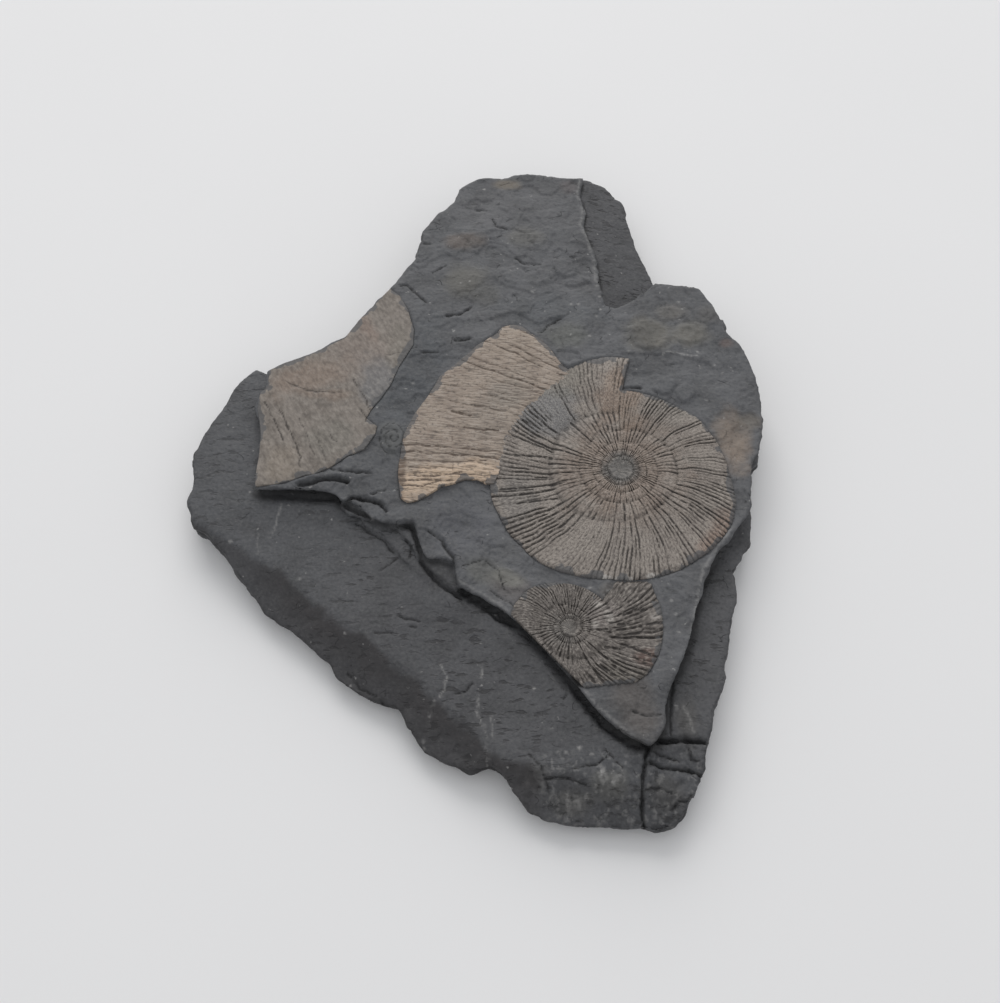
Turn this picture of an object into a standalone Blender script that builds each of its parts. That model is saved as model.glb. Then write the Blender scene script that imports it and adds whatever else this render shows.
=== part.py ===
"""Loose slab of dark laminated shale with flattened ribbed ammonites on its upper bedding plane.

Metres, +Z up. The slab lies on its flat underside at z = 0, its longest side along Y, with the
origin under the middle of its outline. Coordinates are written in millimetres and scaled by MM.

The slab is made as shale is: beds laid on one another and joined. Each bed is a block with a
gently uneven top, trimmed to its own broken outline. Every shell is a thin ribbed plate of its
own that sits in a shallow pocket of the top bed.
"""
import math

import bmesh
import bpy
from mathutils import Vector, noise

MM = 0.001

# Levels above the underside
FOOT_TOP = 2.5
BODY_BOTTOM = 1.2
RIM_HEIGHT = 3.4
LEDGE_TOP = 9.6
PLATE_BOTTOM = 8.2
PLATE_TOP = 13.9
STEP_BOTTOM = 7.0
CORNER_BOTTOM = 3.0
ABOVE_ALL = 18.0

# The lower bedding plane: its level at the foot of the top bed, and its falls over the run outwards
OUTWARD = Vector((-0.641, -0.767, 0.0))
PLATE_FOOT = 33.0
PLATE_FOOT_LEVEL = 10.2
CREST = 58.0
BEDDING_FALL = 0.04
FACET_FALL = 0.5
EDGE_FALL = 0.2
LEFT_TIP_X = -60.0
LOWER_TIP_Y = -84.0

# The right ledge starts at this crease and dips to the right, more steeply at its lower corner
LEDGE_CREASE_X = 40.6
LEDGE_END_Y = 40.0
LEDGE_MIDDLE_X = 45.0
LEDGE_FALL = 0.06
CORNER_FALL = 0.25
CORNER_Y = -80.0

# The smooth facet at the upper right
UPPER_FACET_CORNER = (22.0, 44.0)
UPPER_FACET_TOP = 13.3
UPPER_FACET_TOP_X = 29.0
UPPER_FACET_FALL = 0.3

# Unevenness of the beds: the size and height of each set of lumps, and the grid that carries it
BODY_LUMPS = ((13.0, 0.9), (5.0, 0.35))
PLATE_LUMPS = ((22.0, 0.5), (7.0, 0.25))
FLAKE_LUMPS = ((6.0, 0.4),)
BODY_CELL = 5.0
PLATE_CELL = 4.5
FLAKE_CELL = 3.0
LEFT_SHELL_CELL = 2.2

GRID_SHIFT = Vector((0.3, 0.2, 0.0))
CREASE_SNAP = 0.3

# How far the underside of the top bed is cut back below its upper edge
OVERHANG = 2.2

# Shells: thickness under the bedding plane and the clearance kept round each one
SHELL_DEPTH = 1.2
GAP = 0.35

# Shells: lift of their edges above the bedding plane and swell of a whorl between its edges
EDGE_LIFT = 0.15
WHORL_SWELL = 0.6

# Coiled shells. The outer edge and the seam, where the next whorl in begins, are each given as a
# radius at so many degrees back from the mouth. Further in, the radius shrinks by WHORL_GROWTH a turn.
WHORL_GROWTH = 1.43
SHELL_TURNS = 4

# The large shell grows clockwise, seen from above, and covers half of the whorl before
LARGE_CENTRE = Vector((36.5, -5.2, 0.0))
LARGE_MOUTH = math.radians(90.0)
LARGE_COVER = 4
LARGE_RIBS = 48
LARGE_LEAN = math.radians(6.0)
LARGE_RELIEF = 0.32
LARGE_OUTER = [
    (0, 34.3), (15, 34.5), (35, 32.9), (60, 32.8), (80, 33.8), (120, 34.2), (150, 33.7), (170, 31.9),
    (235, 31.2), (255, 29.6), (270, 27.0), (300, 25.5), (320, 24.4), (360, 24.0),
]
LARGE_SEAM = [
    (0, 16.8), (25, 18.0), (50, 18.6), (100, 18.3), (150, 16.6), (180, 14.8), (290, 13.7), (360, 11.76),
]
LARGE_REACH = max(radius for degrees, radius in LARGE_OUTER)

# The small shell grows counter-clockwise and its whorls only touch
SMALL_CENTRE = Vector((22.2, -49.1, 0.0))
SMALL_MOUTH = math.radians(42.0)
SMALL_COVER = 2
SMALL_RIBS = 40
SMALL_LEAN = math.radians(12.0)
SMALL_RELIEF = 0.36
SMALL_OUTER = [
    (0, 23.8), (20, 23.5), (45, 22.2), (80, 21.5), (95, 19.5), (110, 16.7), (160, 15.0), (250, 14.2),
    (280, 13.1), (305, 11.6), (335, 10.8), (360, 10.6),
]
SMALL_SEAM = [(0, 10.6), (40, 10.0), (95, 9.0), (160, 7.8), (270, 6.6), (360, 5.2)]
SMALL_REACH = max(radius for degrees, radius in SMALL_OUTER)
CLIFF_NORMAL = (-0.739, -0.673)
SMALL_CLIP_POINT = (8.0, -42.3)

# Piece of a whorl between the large shell and the left one
MIDDLE_RADIUS = 56.0
MIDDLE_INNER = 35.0
MIDDLE_START = math.radians(116.0)
MIDDLE_STOP = math.radians(187.0)
MIDDLE_RIB_STEP = math.radians(3.2)
MIDDLE_BROKEN_FROM = math.radians(123.0)
MIDDLE_BROKEN_DEPTH = 7.0
MIDDLE_THICK_FROM = math.radians(172.0)
MIDDLE_THICKER = 0.3
MIDDLE_LIFT = 0.3
MIDDLE_SWELL = 0.35
MIDDLE_RELIEF = 0.24

LEFT_LIFT = 0.35
LEFT_RELIEF = 0.2
LEFT_RIBS_END_X = -30.0
LEFT_RIBS_FADE = 10.0
LEFT_RIB_STEP = 5.2
LEFT_RIB_ACROSS = Vector((0.86, 0.51, 0.0))

# Broken outline of the whole slab, seen from above, counter-clockwise from the left tip
RIM = [
    (-74, -11), (-72, -18), (-64, -25), (-54, -37), (-43, -48), (-36, -54), (-32, -60), (-24, -65),
    (-19, -66), (-15, -74), (-12, -77), (-1, -82), (3, -81), (7, -83), (10, -88), (16, -93),
    (28, -95), (41, -95.7), (45, -95), (50, -87), (53, -80), (55, -72), (59, -60), (62, -45),
    (62, -33), (66, -26), (68.2, -21.5), (69.3, -17), (69.2, -10), (70.3, -2), (72.6, 0.5),
    (73.4, 5), (74, 15), (73, 26), (70, 34),
    (66, 42), (61, 53), (53, 55), (48, 62), (43, 79), (40, 88), (36, 93), (29, 94.5),
    (17, 95.7), (6, 94), (-2, 93), (-6, 90), (-7, 86), (-14, 78), (-17, 69), (-21, 59),
    (-28, 50), (-36, 37), (-48, 30), (-56, 26), (-63, 23), (-67, 16), (-72, 6), (-74, -2),
]

# The part of the underside that touches the ground
FOOT = [
    (-58, -12), (-46, -30), (-26, -48), (-10, -62), (8, -70), (34, -76), (42, -66), (48, -46),
    (52, -28), (56, -8), (60, 12), (56, 32), (44, 46), (36, 66), (24, 80), (4, 80), (-4, 68),
    (-14, 48), (-26, 34), (-44, 22), (-56, 14),
]

# The top bed, which carries the shells and ends in a cliff along its lower left side
PLATE = [
    (-58, 16), (-56, 5), (-57, -1), (-56, -10), (-45, -10), (-35, -11.5), (-27, -17), (-19, -18),
    (-15.5, -20), (-12, -30), (-5, -37), (6, -43), (16, -54), (20, -57), (26, -67), (36.5, -76.5),
    (41, -77), (43, -71), (45, -65), (48, -57), (51, -47), (53, -39), (55, -34), (60, -27),
    (64, -22), (68.4, -17), (68.5, -10), (69.6, -2), (71.9, 0.8), (72.7, 5), (73.3, 15),
    (72.3, 26), (69.3, 34), (65.3, 42),
    (60.5, 52), (48, 54), (42, 49), (36, 46), (33, 50), (33.5, 62), (31, 70), (30.5, 76),
    (31, 80), (28.5, 86), (28, 93.5), (17, 94.7), (6, 93), (-1.5, 92), (-5.5, 89), (-6.3, 85),
    (-13.3, 77.5), (-16.3, 68.5), (-20.3, 58.5), (-27.2, 49.3), (-35.3, 36.2), (-47.5, 29), (-55.5, 25),
]

# Thin flakes left standing as steps at the foot of the cliff, and the loose bed at the lower right
LOW_FLAKE = [
    (-33.8, -13.5), (-29.5, -17.8), (-21.3, -24.4), (-15.4, -29.7), (-11.6, -34.4), (-5.4, -39.2),
    (-3, -36), (-8, -30), (-10, -22), (-18, -10), (-30, -9),
]
HIGH_FLAKE = [
    (-32, -13), (-25.7, -17.6), (-20, -21.6), (-15.5, -25), (-13.4, -29.8), (-8.6, -34),
    (-6, -31), (-10, -16), (-24, -10),
]
CORNER_BED = [(39.3, -75.4), (53.2, -74.6), (52.2, -79), (47, -80.6), (39.8, -80.2)]
CORNER_LUMP = [(39.2, -83), (49, -83.4), (50.2, -86.2), (46, -92.6), (39.7, -92.2), (38.6, -88)]
FLAKES = [
    ("low_step", LOW_FLAKE, 11.2, STEP_BOTTOM),
    ("high_step", HIGH_FLAKE, 12.4, STEP_BOTTOM),
    ("corner_bed", CORNER_BED, 9.9, CORNER_BOTTOM),
    ("corner_lump", CORNER_LUMP, 9.0, CORNER_BOTTOM),
]

# Small raised flakes on the top bed
TOP_FLAKES = [
    [(-1, 55), (6, 58), (14, 57), (20, 61), (27, 58), (26, 68), (18, 73), (6, 71), (-2, 66)],
    [(14, 42), (20, 45), (28, 43), (31, 48), (25, 52), (17, 50)],
    [(40, 33), (50, 31), (60, 34), (62, 42), (57, 50), (46, 51), (40, 44)],
]

# Narrow open cracks: the line each one follows, and its width and depth
CRACKS = [
    ([(39.5, -77.5), (46, -75.6), (54.5, -76.5)], 1.0, 2.2),
    ([(40.5, -82), (45, -81.2), (51, -82.5)], 0.9, 1.8),
    ([(38.6, -78), (37.6, -86), (38.6, -96.5)], 0.9, 2.0),
    ([(-27, -28), (-24, -31), (-21.5, -33)], 0.7, 0.9),
]

# Piece of a large whorl left on the upper left corner of the top bed
LEFT_SHELL = [
    (-56, 15), (-54, 5), (-55, -1), (-54, -8), (-42, -7.5), (-35, -5), (-28, 1), (-26, 8),
    (-24, 17), (-21, 25), (-18, 34), (-19, 40), (-24, 46.5), (-28.5, 46), (-36.5, 33.5),
    (-47, 27), (-54.5, 23),
]


def reset_scene():
    for thing in list(bpy.data.objects):
        bpy.data.objects.remove(thing, do_unlink=True)


def collection(name):
    group = bpy.data.collections.new(name)
    bpy.context.scene.collection.children.link(group)
    return group


def material(name, colour, roughness):
    finish = bpy.data.materials.new(name)
    finish.use_nodes = True
    shader = finish.node_tree.nodes["Principled BSDF"]
    shader.inputs["Base Color"].default_value = (*colour, 1.0)
    shader.inputs["Roughness"].default_value = roughness
    shader.inputs["Metallic"].default_value = 0.0
    finish.diffuse_color = (*colour, 1.0)
    return finish


def polar(centre, radius, angle):
    return centre + Vector((radius * math.cos(angle), radius * math.sin(angle), 0.0))


def scaled(outline, factor, centre=(0.0, 0.0)):
    cx, cy = centre
    return [(cx + (x - cx) * factor, cy + (y - cy) * factor) for x, y in outline]


def read_table(table, place):
    """Value of a table of (place, value) pairs, on the straight line between its entries."""
    for (low, low_value), (high, high_value) in zip(table, table[1:]):
        if place <= high:
            return low_value + (high_value - low_value) * (place - low) / (high - low)
    return table[-1][1]


def lumps(x, y, sets):
    """Soft unevenness of a bedding plane: sets of lumps, each of one size and height."""
    return sum(height * noise.noise(Vector((x / size, y / size, size))) for size, height in sets)


def new_object(name, bm, group, finish=None):
    for vert in bm.verts:
        vert.co *= MM
    bmesh.ops.recalc_face_normals(bm, faces=bm.faces[:])
    if bm.calc_volume(signed=True) < 0.0:
        bmesh.ops.reverse_faces(bm, faces=bm.faces[:])
    mesh = bpy.data.meshes.new(name)
    bm.to_mesh(mesh)
    bm.free()
    thing = bpy.data.objects.new(name, mesh)
    group.objects.link(thing)
    if finish:
        mesh.materials.append(finish)
    return thing


def loft(rings):
    """Closed solid through rings of the same point count, each a pair of outline and height."""
    bm = bmesh.new()
    outline, height = rings[0]
    face = bm.faces.new([bm.verts.new((x, y, height)) for x, y in outline])
    for index, (outline, height) in enumerate(rings[1:]):
        extruded = bmesh.ops.extrude_face_region(bm, geom=[face])
        if index > 0:
            bmesh.ops.delete(bm, geom=[face], context="FACES_ONLY")
        face = next(item for item in extruded["geom"] if isinstance(item, bmesh.types.BMFace))
        for vert, (x, y) in zip(face.verts, outline):
            vert.co = (x, y, height)
    return bm


def block(outline, cell, top, bottom, creases=()):
    """Closed block that covers an outline, with a fine uneven top and one flat face below."""
    xs = [x for x, y in outline]
    ys = [y for x, y in outline]
    width = max(xs) - min(xs) + 4 * cell
    length = max(ys) - min(ys) + 4 * cell
    centre = Vector(((max(xs) + min(xs)) / 2, (max(ys) + min(ys)) / 2, 0.0)) + GRID_SHIFT
    bm = bmesh.new()
    bmesh.ops.create_grid(bm, x_segments=round(width / cell), y_segments=round(length / cell), size=0.5)
    bmesh.ops.scale(bm, vec=(width, length, 1.0), verts=bm.verts[:])
    bmesh.ops.translate(bm, vec=centre, verts=bm.verts[:])
    for point, normal in creases:
        geom = bm.verts[:] + bm.edges[:] + bm.faces[:]
        bmesh.ops.bisect_plane(bm, geom=geom, plane_co=point, plane_no=normal, dist=CREASE_SNAP)
    for vert in bm.verts:
        vert.co.z = top(vert.co.x, vert.co.y)
    rim = [edge for edge in bm.edges if edge.is_boundary]
    skirt = bmesh.ops.extrude_edge_only(bm, edges=rim)["geom"]
    for vert in (item for item in skirt if isinstance(item, bmesh.types.BMVert)):
        vert.co.z = bottom
    bmesh.ops.holes_fill(bm, edges=[edge for edge in bm.edges if edge.is_boundary])
    return bm


def add_boolean(thing, other, operation):
    """Boolean step. All the solids are closed, and this solver joins beds that meet along creases
    and shared edges the same way every time, where the exact one can lose a bed."""
    step = thing.modifiers.new(operation.title() + " " + other.name, "BOOLEAN")
    step.operation = operation
    step.solver = "MANIFOLD"
    step.object = other


def bed(name, rings, top, bottom, cell, group, creases=()):
    """A bed of shale: an uneven block trimmed to the outline that its rings give."""
    widest = max((outline for outline, height in rings), key=lambda ring: max(x for x, y in ring))
    piece = new_object(name, block(widest, cell, top, bottom, creases), group)
    trim = new_object(name + "_outline", loft(rings), group)
    add_boolean(piece, trim, "INTERSECT")
    return piece


def body_top(x, y):
    """Lower bedding plane, its steep outer facet, the right ledge and the upper right facet."""
    outward = OUTWARD.dot(Vector((x, y, 0.0)))
    height = PLATE_FOOT_LEVEL - BEDDING_FALL * (outward - PLATE_FOOT)
    height -= FACET_FALL * max(0.0, outward - CREST)
    height -= EDGE_FALL * (max(0.0, LEFT_TIP_X - x) + max(0.0, LOWER_TIP_Y - y))
    if x > LEDGE_CREASE_X and y < LEDGE_END_Y:
        height = LEDGE_TOP - LEDGE_FALL * (x - LEDGE_MIDDLE_X) - CORNER_FALL * max(0.0, CORNER_Y - y)
    if x > UPPER_FACET_CORNER[0] and y > UPPER_FACET_CORNER[1]:
        height = UPPER_FACET_TOP - UPPER_FACET_FALL * (x - UPPER_FACET_TOP_X)
    return min(height, PLATE_TOP - 1.0) + lumps(x, y, BODY_LUMPS)


def plate_top(x, y):
    """Upper bedding plane: nearly flat, a little lower towards the lower right."""
    unevenness = lumps(x, y, PLATE_LUMPS)
    for centre, radius in ((LARGE_CENTRE, LARGE_REACH), (SMALL_CENTRE, SMALL_REACH)):
        beyond = (Vector((x, y, 0.0)) - centre).length / radius - 1.0
        unevenness *= max(0.0, min(1.0, 4.0 * beyond))
    return PLATE_TOP + unevenness


def flake_top(level):
    return lambda x, y: level + lumps(x, y, FLAKE_LUMPS)


def crack_outline(line, width):
    """Long thin outline round a line: pointed at its ends and widest between them."""
    points = [Vector(point) for point in line]
    along = (points[-1] - points[0]).normalized()
    side = Vector((along.y, -along.x)) * width / 2
    right = [point + side for point in points[1:-1]]
    left = [point - side for point in points[1:-1]]
    return [tuple(point) for point in [points[0], *right, points[-1], *reversed(left)]]


def grown(outline, distance):
    """Outline moved outwards by a small distance, each point along the mean of its two sides."""
    points = [Vector(point) for point in outline]
    result = []
    for index, point in enumerate(points):
        before = (point - points[index - 1]).normalized()
        after = (points[(index + 1) % len(points)] - point).normalized()
        along = (before + after).normalized()
        lean = max(0.5, along.dot(after))
        result.append(tuple(point + Vector((along.y, -along.x)) * distance / lean))
    return result


def prism(outline, low, high):
    return loft([(outline, low), (outline, high)])


class Coil:
    """A shell that is coiled flat, made from the radii of its outer edge and of its seam.

    Rings are counted inwards from the outer edge. Ring 0 is the outer edge and ring `cover` the
    seam. Each whorl further in shows two rings, so that one turn back is always two rings in.
    """

    def __init__(self, centre, mouth, hand, outer, seam, cover, ribs, lean, relief):
        self.centre = centre
        self.mouth = mouth
        self.hand = hand
        self.outer = outer
        self.seam = seam
        self.cover = cover
        self.steps = 2 * ribs
        self.rings = cover + 2 * (SHELL_TURNS - 1)
        self.lean = lean
        self.relief = relief

    def outer_radius(self, turn):
        return read_table(self.outer, 360.0 * turn)

    def seam_radius(self, turn):
        within = min(turn, 1.0)
        return read_table(self.seam, 360.0 * within) * WHORL_GROWTH ** (within - turn)

    def radius(self, turn, ring):
        if ring <= self.cover:
            share = ring / self.cover
            return self.outer_radius(turn) ** (1.0 - share) * self.seam_radius(turn) ** share
        whorl, share = divmod((ring - self.cover) / 2.0, 1.0)
        first = self.seam_radius(turn + whorl)
        return first ** (1.0 - share) * self.seam_radius(turn + whorl + 1.0) ** share

    def place(self, step, ring, margin=0.0):
        """The lean of the ribs fades inwards and along the turn, so that one turn meets the next."""
        turn = step / self.steps
        lean = self.lean * max(0.0, 1.0 - (ring + 2.0 * turn) / self.cover)
        angle = self.mouth + self.hand * (2 * math.pi * turn - lean)
        return polar(self.centre, self.radius(turn, ring) + margin, angle)

    def height(self, step, ring):
        if step == self.steps:
            step = 0
            ring += 2
        share = ring / self.cover if ring < self.cover else ((ring - self.cover) % 2) / 2.0
        swell = math.sin(math.pi * (0.12 + 0.8 * share))
        rib = self.relief * (0.5 if step % 2 else -0.5) * (0.4 + 0.6 * swell)
        return PLATE_TOP + EDGE_LIFT + WHORL_SWELL * swell * WHORL_GROWTH ** (-ring / 4.0) + rib

    def shell(self, clip=None):
        """Closed plate with the ribbed whorls above and one flat face below."""
        bm = bmesh.new()
        bmesh.ops.create_grid(bm, x_segments=self.steps, y_segments=self.rings, size=0.5)
        for vert in bm.verts:
            step = round((vert.co.x + 0.5) * self.steps)
            ring = round((vert.co.y + 0.5) * self.rings)
            vert.co = self.place(step, ring)
            vert.co.z = self.height(step, ring)
        bmesh.ops.remove_doubles(bm, verts=bm.verts[:], dist=0.01)
        core = 1.1 * self.radius(0.0, self.rings)
        inner = [edge for edge in bm.edges if edge.is_boundary and self.reach(edge) < core]
        bmesh.ops.holes_fill(bm, edges=inner)
        if clip:
            geom = bm.verts[:] + bm.edges[:] + bm.faces[:]
            bmesh.ops.bisect_plane(bm, geom=geom, plane_co=clip[0], plane_no=clip[1], clear_outer=True)
        skirt_down(bm, PLATE_TOP - SHELL_DEPTH)
        return bm

    def reach(self, edge):
        middle = (edge.verts[0].co + edge.verts[1].co) / 2 - self.centre
        return Vector((middle.x, middle.y)).length

    def outline(self, margin):
        """Outline of the whole shell, moved outwards by a margin."""
        past = self.hand * (self.lean + margin / self.outer_radius(0.0))
        first = polar(self.centre, self.outer_radius(0.0) + margin, self.mouth - past)
        last = polar(self.centre, self.outer_radius(1.0) + margin, self.mouth - past)
        edge = [self.place(step, 0, margin) for step in range(self.steps + 1)]
        return [(point.x, point.y) for point in [first, *edge, last]]


def skirt_down(bm, level):
    """Carry the open edge of a surface straight down to a level and close it with one face."""
    rim = [edge for edge in bm.edges if edge.is_boundary]
    skirt = bmesh.ops.extrude_edge_only(bm, edges=rim)["geom"]
    for vert in (item for item in skirt if isinstance(item, bmesh.types.BMVert)):
        vert.co.z = level
    bmesh.ops.holes_fill(bm, edges=[edge for edge in bm.edges if edge.is_boundary])


def middle_edge(angle):
    """Outer edge of the middle shell: round, and broken back at its upper end."""
    short = max(0.0, MIDDLE_BROKEN_FROM - angle) / (MIDDLE_BROKEN_FROM - MIDDLE_START)
    return MIDDLE_RADIUS - MIDDLE_BROKEN_DEPTH * short ** 1.5


def middle_shell():
    """Part of a large whorl: a ring sector with radial ribs, thicker at its lower end."""
    steps = 2 * round((MIDDLE_STOP - MIDDLE_START) / MIDDLE_RIB_STEP)
    rows = 4
    inner = MIDDLE_INNER
    bm = bmesh.new()
    bmesh.ops.create_grid(bm, x_segments=steps, y_segments=rows, size=0.5)
    for vert in bm.verts:
        step = round((vert.co.x + 0.5) * steps)
        share = vert.co.y + 0.5
        angle = MIDDLE_START + (MIDDLE_STOP - MIDDLE_START) * step / steps
        vert.co = polar(LARGE_CENTRE, inner + (middle_edge(angle) - inner) * share, angle)
        rib = MIDDLE_RELIEF * (0.5 if step % 2 else -0.5)
        thicker = MIDDLE_THICKER if angle > MIDDLE_THICK_FROM else 0.0
        swell = MIDDLE_SWELL * math.sin(math.pi * (0.1 + 0.8 * share))
        vert.co.z = PLATE_TOP + MIDDLE_LIFT + thicker + swell + rib
    skirt_down(bm, PLATE_TOP - SHELL_DEPTH)
    return bm


def middle_outline(margin):
    """Outline of the middle shell moved outwards; its inner side reaches the large shell."""
    turn = 1.5 * margin / MIDDLE_RADIUS
    count = 40
    angles = [
        MIDDLE_START - turn + (MIDDLE_STOP - MIDDLE_START + 2 * turn) * step / count
        for step in range(count + 1)
    ]
    outer = [polar(LARGE_CENTRE, middle_edge(angle + turn) + margin, angle) for angle in angles]
    inner = [polar(LARGE_CENTRE, MIDDLE_INNER - 3.0, angle) for angle in reversed(angles)]
    return [(point.x, point.y) for point in outer + inner]


def left_shell_top(x, y):
    """Broad low ribs that cross the piece and fade towards its right end."""
    across = Vector((x, y, 0.0)).dot(LEFT_RIB_ACROSS)
    fade = max(0.0, min(1.0, (LEFT_RIBS_END_X - x) / LEFT_RIBS_FADE))
    rib = LEFT_RELIEF * fade * math.cos(2 * math.pi * across / LEFT_RIB_STEP)
    return PLATE_TOP + LEFT_LIFT + rib


def slab(parts, cutters):
    """The shale: foot, body, steps and top bed joined, then cracks and shell pockets cut."""
    shale = material("dark_shale", (0.085, 0.087, 0.093), 0.72)
    foot = new_object("shale_slab", loft([(FOOT, 0.0), (grown(FOOT, 2.0), FOOT_TOP)]), parts, shale)
    ledge_crease = Vector((LEDGE_CREASE_X + 0.1, 0.0, 0.0))
    body = bed(
        "body_bed",
        [(scaled(RIM, 0.91), BODY_BOTTOM), (RIM, RIM_HEIGHT), (RIM, ABOVE_ALL)],
        body_top, BODY_BOTTOM - 1.0, BODY_CELL, cutters,
        creases=[(OUTWARD * CREST, OUTWARD), (ledge_crease, Vector((1.0, 0.0, 0.0)))],
    )
    plate = bed(
        "plate_bed",
        [(grown(PLATE, -OVERHANG), PLATE_BOTTOM), (grown(PLATE, -0.7 * OVERHANG), PLATE_TOP - 2.0),
         (grown(PLATE, -0.15 * OVERHANG), PLATE_TOP - 1.1), (PLATE, ABOVE_ALL)],
        plate_top, PLATE_BOTTOM - 1.0, PLATE_CELL, cutters,
    )
    joined = [body, plate]
    for name, outline, level, bottom in FLAKES:
        rings = [(outline, bottom), (outline, ABOVE_ALL)]
        joined.append(bed(name, rings, flake_top(level), bottom + 1.0, FLAKE_CELL, cutters))
    for index, outline in enumerate(TOP_FLAKES):
        rings = [(outline, PLATE_TOP - 1.5), (grown(outline, -1.0), PLATE_TOP + 0.5)]
        joined.append(new_object(f"top_flake_{index + 1}", loft(rings), cutters))
    for piece in joined:
        add_boolean(foot, piece, "UNION")
    return foot


def pocket(name, outline, cutters, clip=None):
    """Cutter for the hollow that a shell lies in, a little wider and deeper than the shell."""
    bm = prism(outline, PLATE_TOP - SHELL_DEPTH - GAP, ABOVE_ALL)
    if clip:
        geom = bm.verts[:] + bm.edges[:] + bm.faces[:]
        point = clip[0] + clip[1] * GAP
        bmesh.ops.bisect_plane(bm, geom=geom, plane_co=point, plane_no=clip[1], clear_outer=True)
        bmesh.ops.holes_fill(bm, edges=[edge for edge in bm.edges if edge.is_boundary])
    return new_object(name + "_pocket", bm, cutters)


def main():
    reset_scene()
    parts = collection("ammonite_fossil")
    cutters = collection("cutters")
    shale = slab(parts, cutters)

    large = Coil(LARGE_CENTRE, LARGE_MOUTH, 1, LARGE_OUTER, LARGE_SEAM, LARGE_COVER,
                 LARGE_RIBS, LARGE_LEAN, LARGE_RELIEF)
    small = Coil(SMALL_CENTRE, SMALL_MOUTH, -1, SMALL_OUTER, SMALL_SEAM, SMALL_COVER,
                 SMALL_RIBS, SMALL_LEAN, SMALL_RELIEF)
    clip = (Vector((*SMALL_CLIP_POINT, 0.0)), Vector((*CLIFF_NORMAL, 0.0)))

    brown = material("brown_shell_film", (0.165, 0.140, 0.125), 0.7)
    tan = material("tan_shell", (0.24, 0.195, 0.165), 0.65)
    grey_brown = material("grey_brown_shell_film", (0.195, 0.170, 0.150), 0.7)
    hollows = {
        "large": pocket("large", large.outline(GAP), cutters),
        "small": pocket("small", small.outline(GAP), cutters, clip),
        "middle": pocket("middle", middle_outline(GAP), cutters),
        "left": pocket("left", grown(LEFT_SHELL, GAP), cutters),
    }

    # The large shell lies over the upper edge of the small one
    new_object("large_ammonite", large.shell(), parts, brown)
    small_object = new_object("small_ammonite", small.shell(clip), parts, brown)
    add_boolean(small_object, hollows["large"], "DIFFERENCE")
    new_object("middle_shell_piece", middle_shell(), parts, tan)
    left = bed("left_shell_piece", [(LEFT_SHELL, STEP_BOTTOM), (LEFT_SHELL, ABOVE_ALL)],
               left_shell_top, PLATE_TOP - SHELL_DEPTH, LEFT_SHELL_CELL, parts)
    left.data.materials.append(grey_brown)
    trim = bpy.data.objects["left_shell_piece_outline"]
    parts.objects.unlink(trim)
    cutters.objects.link(trim)

    for index, (line, width, depth) in enumerate(CRACKS):
        outline = crack_outline(line, width)
        crack = new_object(f"crack_{index + 1}", prism(outline, LEDGE_TOP - depth, ABOVE_ALL), cutters)
        add_boolean(shale, crack, "DIFFERENCE")
    for hollow in hollows.values():
        add_boolean(shale, hollow, "DIFFERENCE")

    for guide in cutters.objects:
        guide.hide_render = True
        guide.display_type = "WIRE"


main()
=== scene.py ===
# %% Load the frame
import math

import bmesh
import bpy
import numpy as np
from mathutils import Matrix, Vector, noise


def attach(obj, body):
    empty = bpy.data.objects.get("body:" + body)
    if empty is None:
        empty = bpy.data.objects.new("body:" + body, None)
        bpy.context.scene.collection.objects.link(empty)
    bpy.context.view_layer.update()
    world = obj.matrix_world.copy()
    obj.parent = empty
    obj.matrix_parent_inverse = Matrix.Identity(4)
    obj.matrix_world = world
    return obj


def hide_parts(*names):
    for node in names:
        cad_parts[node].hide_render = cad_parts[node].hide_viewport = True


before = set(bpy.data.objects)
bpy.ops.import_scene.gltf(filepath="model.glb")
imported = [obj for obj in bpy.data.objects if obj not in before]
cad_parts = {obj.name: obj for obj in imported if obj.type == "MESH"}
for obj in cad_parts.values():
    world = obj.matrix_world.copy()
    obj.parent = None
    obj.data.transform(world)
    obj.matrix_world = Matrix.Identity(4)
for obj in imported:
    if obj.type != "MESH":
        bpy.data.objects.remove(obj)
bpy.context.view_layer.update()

MM = 0.001
print("CAD nodes:", sorted(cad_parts))

# %% [markdown]
# # A slab of shale with ammonites
# The object is a loose slab of dark shale, 148 by 191 mm, with four pieces of flattened ammonite
# shell on its upper bed. The CAD model already has the right size and all the main forms, so this
# file only makes the finer skin of each node and its finish. All coordinates below are written in
# millimetres, seen from above, and are scaled by MM when a piece is finished.
#
# The camera comes first, because it decides how fine the modelling has to be: one pixel covers
# about a quarter of a millimetre of stone.

# %% Camera
ELEVATION = math.radians(60.0)
AIM = Vector((5.57, -14.77, 14.0)) * MM
DISTANCE = 0.3445
SENSOR_WIDTH = 36.0
HALF_VIEW = math.radians(20.0)

camera_data = bpy.data.cameras.new("camera")
camera_data.sensor_width = SENSOR_WIDTH
camera_data.lens = 0.5 * SENSOR_WIDTH / math.tan(HALF_VIEW)
camera = bpy.data.objects.new("camera", camera_data)
camera.location = AIM + Vector((0.0, -math.cos(ELEVATION), math.sin(ELEVATION))) * DISTANCE
camera.rotation_euler = (math.radians(90.0) - ELEVATION, 0.0, 0.0)
bpy.context.collection.objects.link(camera)
bpy.context.scene.camera = camera
print("camera", [round(value, 4) for value in camera.location])

# %% [markdown]
# Shader maths reads best as ordinary expressions. `Value` wraps one socket, and each operator adds
# the Math node that does the sum, so `1 - mask * 0.5` is two nodes. `Sheet` is one material: its
# `node` method makes any other node, and takes the settings first because they decide which
# sockets the node shows.

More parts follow.
